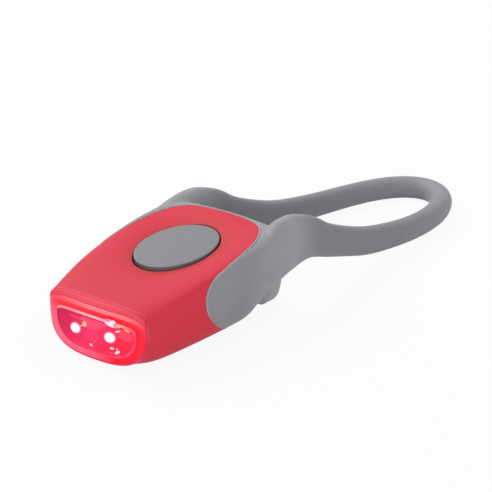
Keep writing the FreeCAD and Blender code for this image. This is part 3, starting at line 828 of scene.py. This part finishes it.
@dataclass
class SubAssembly:
    """Pieces of the light that are dressed or made together."""

    nodes: dict[str, Piece]
    palette: Palette

    def dress(self, finish: str, *names: str) -> None:
        """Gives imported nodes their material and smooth, welded shading.

        Args:
            finish: The palette's name for what they are made of.
            *names: The nodes.
        """
        for name in names:
            obj = self.nodes[name]
            obj.data.materials.clear()
            obj.data.materials.append(self.palette.get(finish))
            obj.data.shade_smooth()
            weld = obj.modifiers.new("weld", "WELD")
            weld.merge_threshold = WELD_DISTANCE
            split = obj.modifiers.new("sharp_edges", "EDGE_SPLIT")
            split.split_angle = math.radians(SHARP_DEGREES)
            split.use_edge_sharp = False

    def finish(self, obj: Piece, body: Body, finishes: list[str], slot: str, *replaced: str) -> None:
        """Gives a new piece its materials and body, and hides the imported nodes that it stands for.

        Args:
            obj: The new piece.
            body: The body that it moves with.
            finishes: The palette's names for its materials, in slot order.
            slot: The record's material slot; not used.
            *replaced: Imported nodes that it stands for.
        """
        for name in finishes:
            obj.data.materials.append(self.palette.get(name))
        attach(obj, body.value)
        if replaced:
            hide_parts(*replaced)


@dataclass
class Pod(SubAssembly):
    """The red shells, the battery door, the seals and the screws."""

    def build(self) -> None:
        """Dresses the shells, door, seals and screws."""
        self.dress("shell", "upper_shell", "lower_shell", "battery_door")
        self.dress("seal", "door_seal", "door_pad", "lens_seal")
        self.dress("zinc", "door_screw", "case_screws", "board_screws")
        LOG.info("pod: shells, door, seals and screws dressed")


@dataclass
class LensFace:
    """Where the lens's bulged front lies, in millimetres."""

    half_width: float = 12.4
    half_height: float = 5.8
    bulge: float = 1.1
    centre_height: float = 6.3
    plane: float = field(init=False)

    def __post_init__(self) -> None:
        """Reads the plane of the shell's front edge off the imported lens."""
        self.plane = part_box("lens")[0].y / MM + self.bulge

    def at(self, x: float, z: float, depth: float) -> Point3:
        """A point behind the bulged front.

        Args:
            x: Distance to the right of the middle, in millimetres.
            z: Height, in millimetres.
            depth: Distance behind the front, in millimetres.

        Returns:
            The point in metres.
        """
        bulged = self.bulge * (1 - (x / self.half_width) ** 2)
        return (x * MM, (self.plane - bulged + depth) * MM, z * MM)


@dataclass
class FrontLens(SubAssembly):
    """The clear lens: a glowing rim with a chamfered pane, whose upper edge catches the light."""

    face: LensFace
    ring_points: int = 192
    window_steps: int = 24
    ray_reach: float = 30.0
    read_depth: float = 0.2
    seat_depth: float = 0.38
    seat_step: float = 0.04
    lip_drop: float = 1.0
    lip_start: float = 8.0
    lip_full: float = 11.5
    lip_proud: float = 0.03
    lip_back: float = 1.3
    lip_wall: float = 0.5
    lip_under: float = 1.2
    lip_turn: float = 0.2
    lip_crown: float = 0.08
    lip_steps: int = 8
    edge_round: float = 0.5
    edge_steps: tuple[Point2, ...] = ((0.1, 0.06), (0.3, 0.2))
    band_depth: float = 0.4
    chamfer_outside: float = 0.2
    chamfer_inside: float = 0.14
    corner: float = 0.05
    corner_sink: float = 0.06
    corner_rise: float = 0.03
    ridge_land: float = 0.06
    foot_depth: float = 0.12
    foot_inside: float = 0.5
    wall_inset: float = 1.1
    wall_depth: float = 2.7
    wall_start: float = 1.0
    wall_draft: float = 0.1
    pane_overlap: float = 0.04
    pane_back: float = 0.9
    pane_lead: float = 0.02
    pane_crown: float = 0.04
    pane_steepness: float = 10.0
    pane_shares: tuple[float, ...] = (0.97, 0.9, 0.75, 0.6, 0.45, 0.3, 0.15)
    half_window: tuple[Point2, ...] = (
        (5.4, 10.05),
        (9.0, 9.7),
        (10.1, 8.7),
        (9.75, 6.0),
        (8.0, 3.9),
        (5.2, 2.9),
    )
    window_top: float = 10.15
    window_foot: float = 2.75

    def directions(self) -> list[Vector]:
        """Unit directions in the lens plane, spread evenly along its outline."""
        wide, high = self.face.half_width, self.face.half_height
        ways = [Vector((math.cos(turn) * wide, math.sin(turn) * high)) for turn in turns(self.ring_points)]
        return [way.normalized() for way in ways]

    def outer_outline(self, node: str, depth: float) -> list[Point2]:
        """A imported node's outline at a depth behind the plane of the shell's front edge.

        Args:
            node: The lens or a shell.
            depth: Distance behind that plane, in millimetres.

        Returns:
            Points of the outline, in millimetres.
        """
        tree = BVHTree.FromObject(self.nodes[node], bpy.context.evaluated_depsgraph_get())
        level, reach = (self.face.plane + depth) * MM, self.ray_reach
        outline = []
        for way in self.directions():
            start = Vector((way.x * reach * MM, level, (self.face.centre_height + way.y * reach) * MM))
            hit = tree.ray_cast(start, Vector((-way.x, 0, -way.y)))[0]
            outline.append((hit.x / MM, hit.z / MM))
        return outline

    def window_outline(self) -> list[Point2]:
        """The pane's outline on the same directions as the outer one."""
        middle = self.face.centre_height
        mirrored = [(-x, z) for x, z in reversed(self.half_window)]
        points = [(0.0, self.window_top), *self.half_window, (0.0, self.window_foot), *mirrored]
        dense = closed_curve([Vector(point) for point in points], self.window_steps)
        line = [Vector((point.x, point.y - middle)) for point in dense]
        outline = []
        for way in self.directions():
            side = Vector((-way.y, way.x))
            for start, end in zip(line, line[1:] + line[:1]):
                a, b = start.dot(side), end.dot(side)
                if a * b <= 0 and a != b:
                    crossing = start + (end - start) * (a / (a - b))
                    if crossing.dot(way) > 0:
                        outline.append((crossing.x, crossing.y + middle))
                        break
        return outline

    def inset(self, outline: list[Point2], distance: float) -> list[Point2]:
        """An outline drawn a distance inside another one.

        Args:
            outline: Points in the lens plane, in millimetres.
            distance: How far inside it lies.

        Returns:
            The inner outline's points.
        """
        count = len(outline)
        points = []
        for index, (x, z) in enumerate(outline):
            before, after = Vector(outline[index - 1]), Vector(outline[(index + 1) % count])
            along = (after - before).normalized()
            points.append((x - along.y * distance, z + along.x * distance))
        return points

    def ring(self, outline: list[Point2], inset: float, depth: float) -> list[Point3]:
        """A ring on the bulged front.

        Args:
            outline: Points in the lens plane, in millimetres.
            inset: How far the ring lies inside the outline.
            depth: How far it lies behind the bulged front.

        Returns:
            The ring's points in metres.
        """
        return [self.face.at(x, z, depth) for x, z in self.inset(outline, inset)]

    def flat_ring(self, outline: list[Point2], inset: float, depth: float) -> list[Point3]:
        """A ring in a plane behind the shell's front edge, from the same arguments as ring()."""
        level = (self.face.plane + depth) * MM
        return [(x * MM, level, z * MM) for x, z in self.inset(outline, inset)]

    def make_rim(self, outer: list[Point2], window: list[Point2]) -> None:
        """Makes the rim: its skirt, rounded edge, face, chamfer and inner wall.

        Args:
            outer: The lens's outline.
            window: The pane's outline.
        """
        outside, inside, corner = self.chamfer_outside, self.chamfer_inside, self.corner
        skirt = [
            self.flat_ring(outer, self.wall_inset, self.wall_depth),
            self.flat_ring(outer, self.wall_inset, self.seat_depth + self.seat_step),
            self.flat_ring(outer, 0.0, self.seat_depth),
        ]
        edge = [self.ring(outer, inset, depth) for inset, depth in rounded(self.edge_round)]
        band = [self.ring(outer, self.edge_round + inset, depth) for inset, depth in self.edge_steps]
        profile = (
            (-outside - 2 * corner, self.band_depth),
            (-outside, self.band_depth),
            (-outside + corner, self.band_depth - self.corner_sink),
            (inside - corner, self.corner_rise),
            (inside, 0.0),
            (inside + self.ridge_land, 0.0),
            (self.foot_inside, self.foot_depth),
            (self.foot_inside + self.wall_draft, self.wall_start),
        )
        chamfer = [self.ring(window, inset, depth) for inset, depth in profile]
        wall = [self.flat_ring(window, self.foot_inside + 2 * self.wall_draft, self.wall_depth)]
        slots = [0] * 10 + [1] * 3 + [2] * 3 + [3] * 4
        rings = skirt + edge + band + chamfer + wall
        rim = skin_rings("lens_rim", rings, first_cap=False, last_cap=False, slots=slots)
        finishes = ["lens_edge", "lens_band", "lens_ridge", "pane_edge"]
        self.finish(rim, Body.LIGHT, finishes, "clear_lens", "lens")

    def lip_share(self, height: float) -> float:
        """How much of the shell's rounded lip there is at a height of the outline, from 0 to 1."""
        return eased(share_between(height, self.lip_start, self.lip_full))

    def lens_outline(self, outer: list[Point2]) -> list[Point2]:
        """The lens's own outline, which stays below the lip along the top."""
        return [(x, z - self.lip_drop * self.lip_share(z)) for x, z in outer]

    def make_lip(self, outer: list[Point2], inner: list[Point2], back: list[Point2]) -> None:
        """Makes the red lip that rounds the shell's top over to the lens.

        Args:
            outer: The shell's outline at its front edge.
            inner: The lens's outline.
            back: The shell's outline a little way back, where the lip starts.
        """
        starts = self.flat_ring(back, -self.lip_proud / 2, self.lip_back)
        edges = self.flat_ring(outer, -self.lip_proud, self.seat_depth)
        ends = self.ring(inner, 0.0, self.edge_round)
        feet = self.ring(inner, self.lip_wall, self.lip_under)
        walls = self.flat_ring(outer, self.lip_wall, self.lip_back)
        sections = []
        for index, (_, height) in enumerate(outer):
            if height <= self.lip_start:
                continue
            edge, end = Vector(edges[index]), Vector(ends[index])
            share = self.lip_share(height)
            section = [starts[index]]
            for step in range(self.lip_steps + 1):
                run = step / self.lip_steps
                point = edge.lerp(end, run)
                bulge = 4 * run * (1 - run) * self.lip_crown * share * MM
                section.append((point.x, edge.y + (end.y - edge.y) * run * share - bulge, point.z + bulge))
            section.append((feet[index][0], section[-1][1] + self.lip_turn * MM, feet[index][2]))
            section.append(walls[index])
            sections.append(section)
        self.finish(skin_rings("shell_lip", sections), Body.LIGHT, ["shell_nose"], "red_shell")

    def make_pane(self, window: list[Point2]) -> None:
        """Makes the pane inside the chamfer.

        Args:
            window: The pane's outline.
        """
        border = self.inset(window, self.foot_inside - self.pane_overlap)
        middle = self.face.centre_height
        depths = (self.pane_back, self.foot_depth - self.pane_lead)
        rings = [self.ring(border, 0.0, depth) for depth in depths]
        for share in self.pane_shares:
            depth = self.foot_depth - self.pane_crown * min(1.0, (1 - share) * self.pane_steepness)
            rings.append([self.face.at(x * share, middle + (z - middle) * share, depth) for x, z in border])
        self.finish(skin_rings("lens_pane", rings, first_cap=False), Body.LIGHT, ["pane"], "clear_lens")

    def build(self) -> None:
        """Makes the rim, the shell's lip over it and the pane."""
        window = self.window_outline()
        outer = self.outer_outline("lens", self.read_depth)
        inner = self.lens_outline(outer)
        self.make_rim(inner, window)
        self.make_lip(outer, inner, self.outer_outline("upper_shell", self.lip_back))
        self.make_pane(window)
        LOG.info("front lens: glowing rim, lip and chamfered pane")


@dataclass
class Glint:
    """A small bright reflection in a moulded facet of the pane, in millimetres and degrees."""

    place: Point2
    half_width: float
    half_height: float
    lean: float
    finish: str = "glint"
    proud: float = 0.035


def powered(value: float, power: float) -> float:
    """A value from -1 to 1 raised to a power, with its sign kept."""
    return math.copysign(abs(value) ** power, value)


@dataclass
class Lamp(SubAssembly):
    """Reflector, diodes and the light that they throw on the pane."""

    face: LensFace
    spot_half_width: float = 1.5
    spot_half_height: float = 1.22
    spot_lean: float = 0.14
    spot_proud: float = 0.09
    spot_points: int = 48
    spot_profile: tuple[Point2, ...] = (
        (1.0, 0.3),
        (1.0, 0.07),
        (0.84, 0.05),
        (0.7, 0.03),
        (0.45, 0.0),
        (0.2, 0.0),
    )
    spots: tuple[tuple[str, Point2], ...] = (("left", (-4.65, 6.55)), ("right", (4.35, 7.0)))
    pane_depth: float = 0.08
    facet_points: int = 20
    facet_root: float = 0.1
    facet_shoulder: Point2 = (0.95, 0.7)
    facet_crown: float = 0.5
    leaf_powers: Point2 = (0.8, 1.3)
    line_half_height: float = 0.06
    glints: list[Glint] = field(
        default_factory=lambda: [
            Glint((-2.1, 8.1), 0.8, 0.62, 50, "glint_soft", 0.012),
            Glint((-2.05, 8.1), 0.5, 0.42, 50, "glint_yellow"),
            Glint((-3.0, 7.5), 0.4, 0.1, 40, "glint_yellow"),
            Glint((4.7, 10.05), 1.8, 0.75, -8, "glint_soft", 0.11),
            Glint((4.4, 9.85), 1.25, 0.42, -12, "glint", 0.14),
            Glint((5.0, 10.3), 0.8, 0.42, 20, "glint", 0.15),
            Glint((6.5, 9.9), 0.5, 0.24, -14, "glint_yellow", 0.13),
            Glint((8.5, 9.45), 0.7, 0.13, -14, "glint_yellow", 0.12),
            Glint((6.3, 8.75), 0.7, 0.13, 22),
            Glint((4.8, 4.8), 0.5, 0.22, 6),
            Glint((6.1, 4.3), 0.7, 0.3, 32),
            Glint((6.0, 4.95), 0.2, 0.1, -20),
            Glint((-0.5, 4.1), 0.4, 0.17, -30),
        ]
    )
    # Painted highlight lines on the pane, each from one end to the other, in millimetres.
    facet_lines: tuple[tuple[Point2, Point2], ...] = (
        ((-0.3, 4.3), (1.7, 6.4)),
        ((-6.4, 8.9), (-0.6, 8.9)),
        ((3.2, 3.9), (7.4, 3.6)),
    )

    def bump(self, name: str, x: float, z: float) -> None:
        """Makes a shallow domed bump on the pane's front, in front of a diode.

        Args:
            name: The piece's name.
            x: Its middle, in millimetres.
            z: Its middle's height.
        """
        rings = []
        for share, depth in self.spot_profile:
            lift = self.spot_proud * (1 - share * share)
            ring = []
            for turn in turns(self.spot_points):
                across = self.spot_half_width * share * math.cos(turn)
                up = self.spot_half_height * share * math.sin(turn) + self.spot_lean * across
                ring.append(self.face.at(x + across, z + up, depth - lift))
            rings.append(ring)
        spot = skin_rings(name, rings, slots=[2, 2, 1, 0, 0])
        self.finish(spot, Body.LIGHT, ["spot", "spot_flank", "spot_foot"], "led_epoxy")

    def facet(self, name: str, glint: Glint) -> None:
        """Makes a small leaf-shaped facet on the pane, carrying a painted glint or highlight line.

        Args:
            name: The piece's name.
            glint: Its place, size and finish.
        """
        lean = math.radians(glint.lean)
        shoulder, lift = self.facet_shoulder
        profile = ((1.0, -self.facet_root), (shoulder, glint.proud * lift), (self.facet_crown, glint.proud))
        rings = []
        for share, proud in profile:
            ring = []
            for turn in turns(self.facet_points):
                across = glint.half_width * share * powered(math.cos(turn), self.leaf_powers[0])
                up = glint.half_height * share * powered(math.sin(turn), self.leaf_powers[1])
                x = glint.place[0] + across * math.cos(lean) - up * math.sin(lean)
                z = glint.place[1] + across * math.sin(lean) + up * math.cos(lean)
                ring.append(self.face.at(x, z, self.pane_depth - proud))
            rings.append(ring)
        self.finish(skin_rings(name, rings), Body.LIGHT, [glint.finish], "clear_lens")

    def build(self) -> None:
        """Dresses the reflector and diodes, and adds the lit bumps and glints."""
        self.dress("reflector", "reflector")
        for side, (x, z) in self.spots:
            self.dress("diode", f"led_{side}")
            self.dress("tin", f"led_leads_{side}")
            self.bump(f"lit_bump_{side}", x, z)
        for index, glint in enumerate(self.glints):
            self.facet(f"facet_glint_{index}", glint)
        for index, (start, end) in enumerate(self.facet_lines):
            run = Vector(end) - Vector(start)
            middle = (Vector(start) + Vector(end)) / 2
            lean = math.degrees(math.atan2(run.y, run.x))
            line = Glint((middle.x, middle.y), run.length / 2, self.line_half_height, lean, "facet_line")
            self.facet(f"facet_line_{index}", line)
        LOG.info("lamp: reflector, diodes, lit bumps and %d glints", len(self.glints))


@dataclass
class Electronics(SubAssembly):
    """Board, chip, resistors and switch."""

    def build(self) -> None:
        """Dresses the board and what is soldered to it."""
        self.dress("board", "circuit_board")
        self.dress("nylon", "controller_chip", "resistors", "switch_housing", "switch_plunger")
        LOG.info("electronics: board, chip, resistors and switch dressed")


@dataclass
class Battery(SubAssembly):
    """Coin cells, their carrier and the contacts."""

    def build(self) -> None:
        """Dresses the cells, carrier and contacts."""
        self.dress("nylon", "battery_carrier")
        self.dress("cell", "coin_cell_upper", "coin_cell_lower")
        self.dress("nickel", "positive_contact", "negative_contact")
        LOG.info("battery: cells, carrier and contacts dressed")


@dataclass
class Station:
    """One cross-section of the fairing between the flank and the lug, in millimetres."""

    y: float
    x: float
    z: float
    half_x: float
    half_z: float


@dataclass
class StrapCradle(SubAssembly):
    """The silicone cradle with its two limbs and loop, as one soft moulding."""

    voxel: float = 0.3
    smooth_factor: float = 0.5
    skin_passes: int = 3
    flow_passes: int = 70
    flow_start: float = -26.0
    flow_end: float = -4.0
    flow_fade: float = 4.0
    edge_near: float = 0.8
    edge_far: float = 2.6
    proud: float = 0.2
    floor_fade: float = 0.25
    tuck: float = 1.3
    tuck_top: float = 8.5
    tuck_full: float = 3.5
    tuck_sides: Point2 = (6.0, 9.0)
    tuck_ramp: tuple[float, float, float, float] = (-22.5, -18.0, -9.5, -6.0)
    core_height: float = 8.0
    probe_lift: float = 0.12
    probe_touch: float = 0.1
    probe_reach: float = 30.0
    crease_degrees: float = 15.0
    lip_radius: float = 0.22
    lip_smooth: int = 12
    lip_fixed_below: float = 2.0
    lip_sides: int = 10
    lip_steps: int = 4
    fairing_points: int = 24
    fairing: tuple[Station, ...] = field(
        default_factory=lambda: (
            Station(-21.0, 11.9, 7.0, 2.0, 4.4),
            Station(-18.0, 11.7, 6.3, 2.1, 4.3),
            Station(-15.4, 11.2, 5.2, 1.9, 3.6),
            Station(-13.2, 10.3, 4.0, 1.5, 2.4),
            Station(-11.7, 9.4, 3.4, 0.9, 1.5),
        )
    )

    def make_fairing(self, side: int) -> Piece:
        """Closed body that lets the flank run out into the lug.

        Args:
            side: 1 for the right side and -1 for the left.

        Returns:
            The body.
        """
        rings = []
        for station in self.fairing:
            ring = []
            for turn in turns(self.fairing_points):
                x = side * (station.x + station.half_x * math.cos(turn))
                ring.append((x * MM, station.y * MM, (station.z + station.half_z * math.sin(turn)) * MM))
            rings.append(ring)
        return skin_rings("fairing", rings)

    def source_mesh(self) -> bpy.types.Mesh:
        """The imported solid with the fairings, remeshed as one skin."""
        work = bmesh.new()
        work.from_mesh(self.nodes["strap_cradle"].data)
        for side in (-1, 1):
            body = self.make_fairing(side)
            work.from_mesh(body.data)
            bpy.data.objects.remove(body)
        mesh = bpy.data.meshes.new("strap_source")
        work.to_mesh(mesh)
        work.free()
        source = bpy.data.objects.new("strap_source", mesh)
        bpy.context.scene.collection.objects.link(source)
        remesh = source.modifiers.new("skin", "REMESH")
        remesh.mode = "VOXEL"
        remesh.voxel_size = self.voxel * MM
        skin = bpy.data.meshes.new_from_object(source.evaluated_get(bpy.context.evaluated_depsgraph_get()))
        bpy.data.objects.remove(source)
        skin.name = "strap_skin"
        skin.materials.clear()
        skin.shade_smooth()
        return skin

    def tucked(self, place: Vector) -> Vector:
        """Draws the flank's lower side in under the pod.

        Args:
            place: A point of the skin, in metres.

        Returns:
            Where it goes.
        """
        y, z = place.y / MM, place.z / MM
        start, full, hold, end = self.tuck_ramp
        along = min(share_between(y, start, full), share_between(y, end, hold))
        down = share_between(z, self.tuck_top, self.tuck_full)
        outside = share_between(abs(place.x) / MM, *self.tuck_sides)
        shift = self.tuck * outside * eased(along) * eased(down)
        return Vector((place.x - math.copysign(shift * MM, place.x), place.y, place.z))

    def edge_line(self) -> list[Vector]:
        """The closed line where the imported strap's outside ends on the shells, in metres."""
        graph = bpy.context.evaluated_depsgraph_get()
        shells = [BVHTree.FromObject(self.nodes[name], graph) for name in ("upper_shell", "lower_shell")]
        work = bmesh.new()
        work.from_mesh(self.nodes["strap_cradle"].data)
        bmesh.ops.remove_doubles(work, verts=work.verts, dist=WELD_DISTANCE)
        trees = [*shells, BVHTree.FromBMesh(work)]
        kept: dict[int, bool] = {}

        def on_edge(vert: bmesh.types.BMVert) -> bool:
            """Whether a point lies on a shell with nothing outside it."""
            if vert.index not in kept:
                way = Vector((vert.co.x, 0, vert.co.z - self.core_height * MM)).normalized()
                start = vert.co + way * self.probe_lift * MM
                touches = min(shell.find_nearest(vert.co)[3] for shell in shells) < self.probe_touch * MM
                free = all(tree.ray_cast(start, way, self.probe_reach * MM)[0] is None for tree in trees)
                kept[vert.index] = touches and free
            return kept[vert.index]

        neighbours: dict[int, list[bmesh.types.BMVert]] = {}
        for edge in work.edges:
            bent = len(edge.link_faces) == 2 and edge.calc_face_angle(0) > math.radians(self.crease_degrees)
            if bent and all(on_edge(vert) for vert in edge.verts):
                for vert in edge.verts:
                    neighbours.setdefault(vert.index, []).append(edge.other_vert(vert))
        work.verts.ensure_lookup_table()
        first = min(neighbours)
        line, previous, current = [], -1, first
        while current != first or not line:
            line.append(work.verts[current].co.copy())
            following = next((vert.index for vert in neighbours[current] if vert.index != previous), first)
            previous, current = current, following
        work.free()
        return line

    def make_lip(self) -> None:
        """Makes the rounded lip along the strap's edge on the shells."""
        line = self.edge_line()
        count = len(line)
        fixed = self.lip_fixed_below * MM
        for _ in range(self.lip_smooth):
            middles = [(line[index - 1] + line[(index + 1) % count]) / 2 for index in range(count)]
            line = [point if point.z < fixed else point.lerp(mid, 0.5) for point, mid in zip(line, middles)]
        smooth = closed_curve(line, self.lip_steps)
        total = len(smooth)
        rings = []
        for index, point in enumerate(smooth):
            run = (smooth[(index + 1) % total] - smooth[index - 1]).normalized()
            out = Vector((point.x, 0, point.z - self.core_height * MM))
            out = (out - run * out.dot(run)).normalized()
            side = run.cross(out)
            ring = []
            for turn in turns(self.lip_sides):
                offset = (out * math.cos(turn) + side * math.sin(turn)) * self.lip_radius * MM
                place = self.tucked(point) + offset
                ring.append((place.x, place.y, max(place.z, 0.0)))
            rings.append(ring)
        rings.append(rings[0])
        lip = skin_rings("strap_lip", rings, first_cap=False, last_cap=False)
        self.finish(lip, Body.LIGHT, ["strap_lip"], "grey_silicone")
        LOG.info("strap lip: %d sections", total)

    def flow_weight(self, place: Vector, shell: BVHTree) -> float:
        """How much a point of the skin may flow: only round the joins, and not along the red edge.

        Args:
            place: The point, in metres.
            shell: The red shell's surface.

        Returns:
            A weight from 0 to 1.
        """
        y = place.y / MM
        rise = share_between(y, self.flow_start, self.flow_start + self.flow_fade)
        fall = share_between(y, self.flow_end, self.flow_end - self.flow_fade)
        if rise * fall == 0:
            return 0.0
        distance = shell.find_nearest(place)[3] / MM
        return rise * fall * share_between(distance, self.edge_near, self.edge_far)

    def smooth(self, strap: Piece, name: str, passes: int, group: str = "") -> None:
        """Adds a smoothing modifier.

        Args:
            strap: The skin.
            name: The modifier's name.
            passes: How often it smooths.
            group: The vertex group that it is limited to, if any.
        """
        modifier = strap.modifiers.new(name, "SMOOTH")
        modifier.factor = self.smooth_factor
        modifier.iterations = passes
        modifier.vertex_group = group

    def build(self) -> None:
        """Makes the skin, lets its joins flow together and sets it a little proud of the red shell."""
        mesh = self.source_mesh()
        strap = bpy.data.objects.new("strap_skin", mesh)
        bpy.context.scene.collection.objects.link(strap)
        shell = BVHTree.FromObject(self.nodes["upper_shell"], bpy.context.evaluated_depsgraph_get())
        flow = strap.vertex_groups.new(name="flow")
        above = strap.vertex_groups.new(name="proud")
        for vert in mesh.vertices:
            weight = self.flow_weight(vert.co, shell)
            if weight > 0:
                flow.add([vert.index], weight, "REPLACE")
            vert.co = self.tucked(vert.co)
            above.add([vert.index], share_between(vert.co.z / MM, 0.0, self.floor_fade), "REPLACE")
        self.smooth(strap, "skin_smooth", self.skin_passes)
        self.smooth(strap, "flow_smooth", self.flow_passes, flow.name)
        grow = strap.modifiers.new("proud", "DISPLACE")
        grow.strength = self.proud * MM
        grow.mid_level = 0.0
        grow.vertex_group = above.name
        self.finish(strap, Body.LIGHT, ["strap"], "grey_silicone", "strap_cradle")
        LOG.info("strap cradle: %d points", len(mesh.vertices))
        self.make_lip()


@dataclass
class ButtonPad(SubAssembly):
    """The oval push pad with its post, and the gasket round it."""

    tilt: float = 7.5
    near_rise: float = 0.75
    far_rise: float = 0.1
    crown: float = 0.08
    top_shares: tuple[float, ...] = (0.25, 0.5, 0.75, 0.9)
    top_strips: int = 8
    edge_round: float = 0.24
    wall_depth: float = 2.0
    wall_start: float = 0.5
    wall_draft: float = 0.05
    undercut: float = 0.35
    underside: Point2 = (0.4, 0.1)
    post_radius: float = 1.5
    ring_points: int = 96

    def build(self) -> None:
        """Makes the pad and dresses the gasket."""
        low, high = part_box("button_pad")
        half_width, half_length = (high.x - low.x) / 2 / MM, (high.y - low.y) / 2 / MM
        middle = (low.y + high.y) / 2 / MM
        lean = math.tan(math.radians(self.tilt))
        slope = lean - (self.near_rise - self.far_rise) / (2 * half_length)
        top = high.z / MM - lean * (half_length - self.edge_round) + (self.near_rise + self.far_rise) / 2

        def ring(inset: float, drop: float) -> list[Point3]:
            """An oval ring parallel to the pad's top, in from its rim and below its top."""
            points = []
            for turn in turns(self.ring_points):
                across = (half_width - inset) * math.cos(turn)
                along = (half_length - inset) * math.sin(turn)
                points.append((across * MM, (middle + along) * MM, (top + along * slope - drop) * MM))
            return points

        rings = [ring((1 - share) * half_width, self.crown * share * share) for share in self.top_shares]
        rings += [ring(inset, self.crown + drop) for drop, inset in rounded(self.edge_round)]
        rings.append(ring(self.wall_draft, self.crown + self.edge_round + self.wall_start))
        rings.append(ring(self.undercut, self.wall_depth))
        inward, lower = self.underside
        rings.append(ring(self.undercut + inward, self.wall_depth + lower))
        under = ring(half_width - self.post_radius, self.wall_depth + lower)
        radius, angles = self.post_radius, turns(self.ring_points)
        post = [(radius * math.cos(turn), middle + radius * math.sin(turn)) for turn in angles]
        rings.append([(x * MM, y * MM, height) for (x, y), (_, _, height) in zip(post, under)])
        rings.append([(x * MM, y * MM, low.z) for x, y in post])
        # The top rings take the pad's grey; the wall below takes the darker painted shade of the pad's
        # side.
        slots = [0] * self.top_strips + [1] * (len(rings) - 1 - self.top_strips)
        pad = skin_rings("button_skin", rings, slots=slots)
        self.finish(pad, Body.BUTTON, ["pad", "pad_side"], "button_silicone", "button_pad")
        self.dress("pad", "button_gasket")
        LOG.info("button: pad and gasket")


def main() -> None:
    """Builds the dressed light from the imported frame."""
    logging.basicConfig(level=logging.INFO, format="%(message)s")
    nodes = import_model()["nodes"]
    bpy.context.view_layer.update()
    palette = Palette()
    face = LensFace()
    Studio().build()
    Pod(nodes, palette).build()
    FrontLens(nodes, palette, face).build()
    Lamp(nodes, palette, face).build()
    Electronics(nodes, palette).build()
    Battery(nodes, palette).build()
    StrapCradle(nodes, palette).build()
    ButtonPad(nodes, palette).build()


if __name__ == "__main__":
    main()
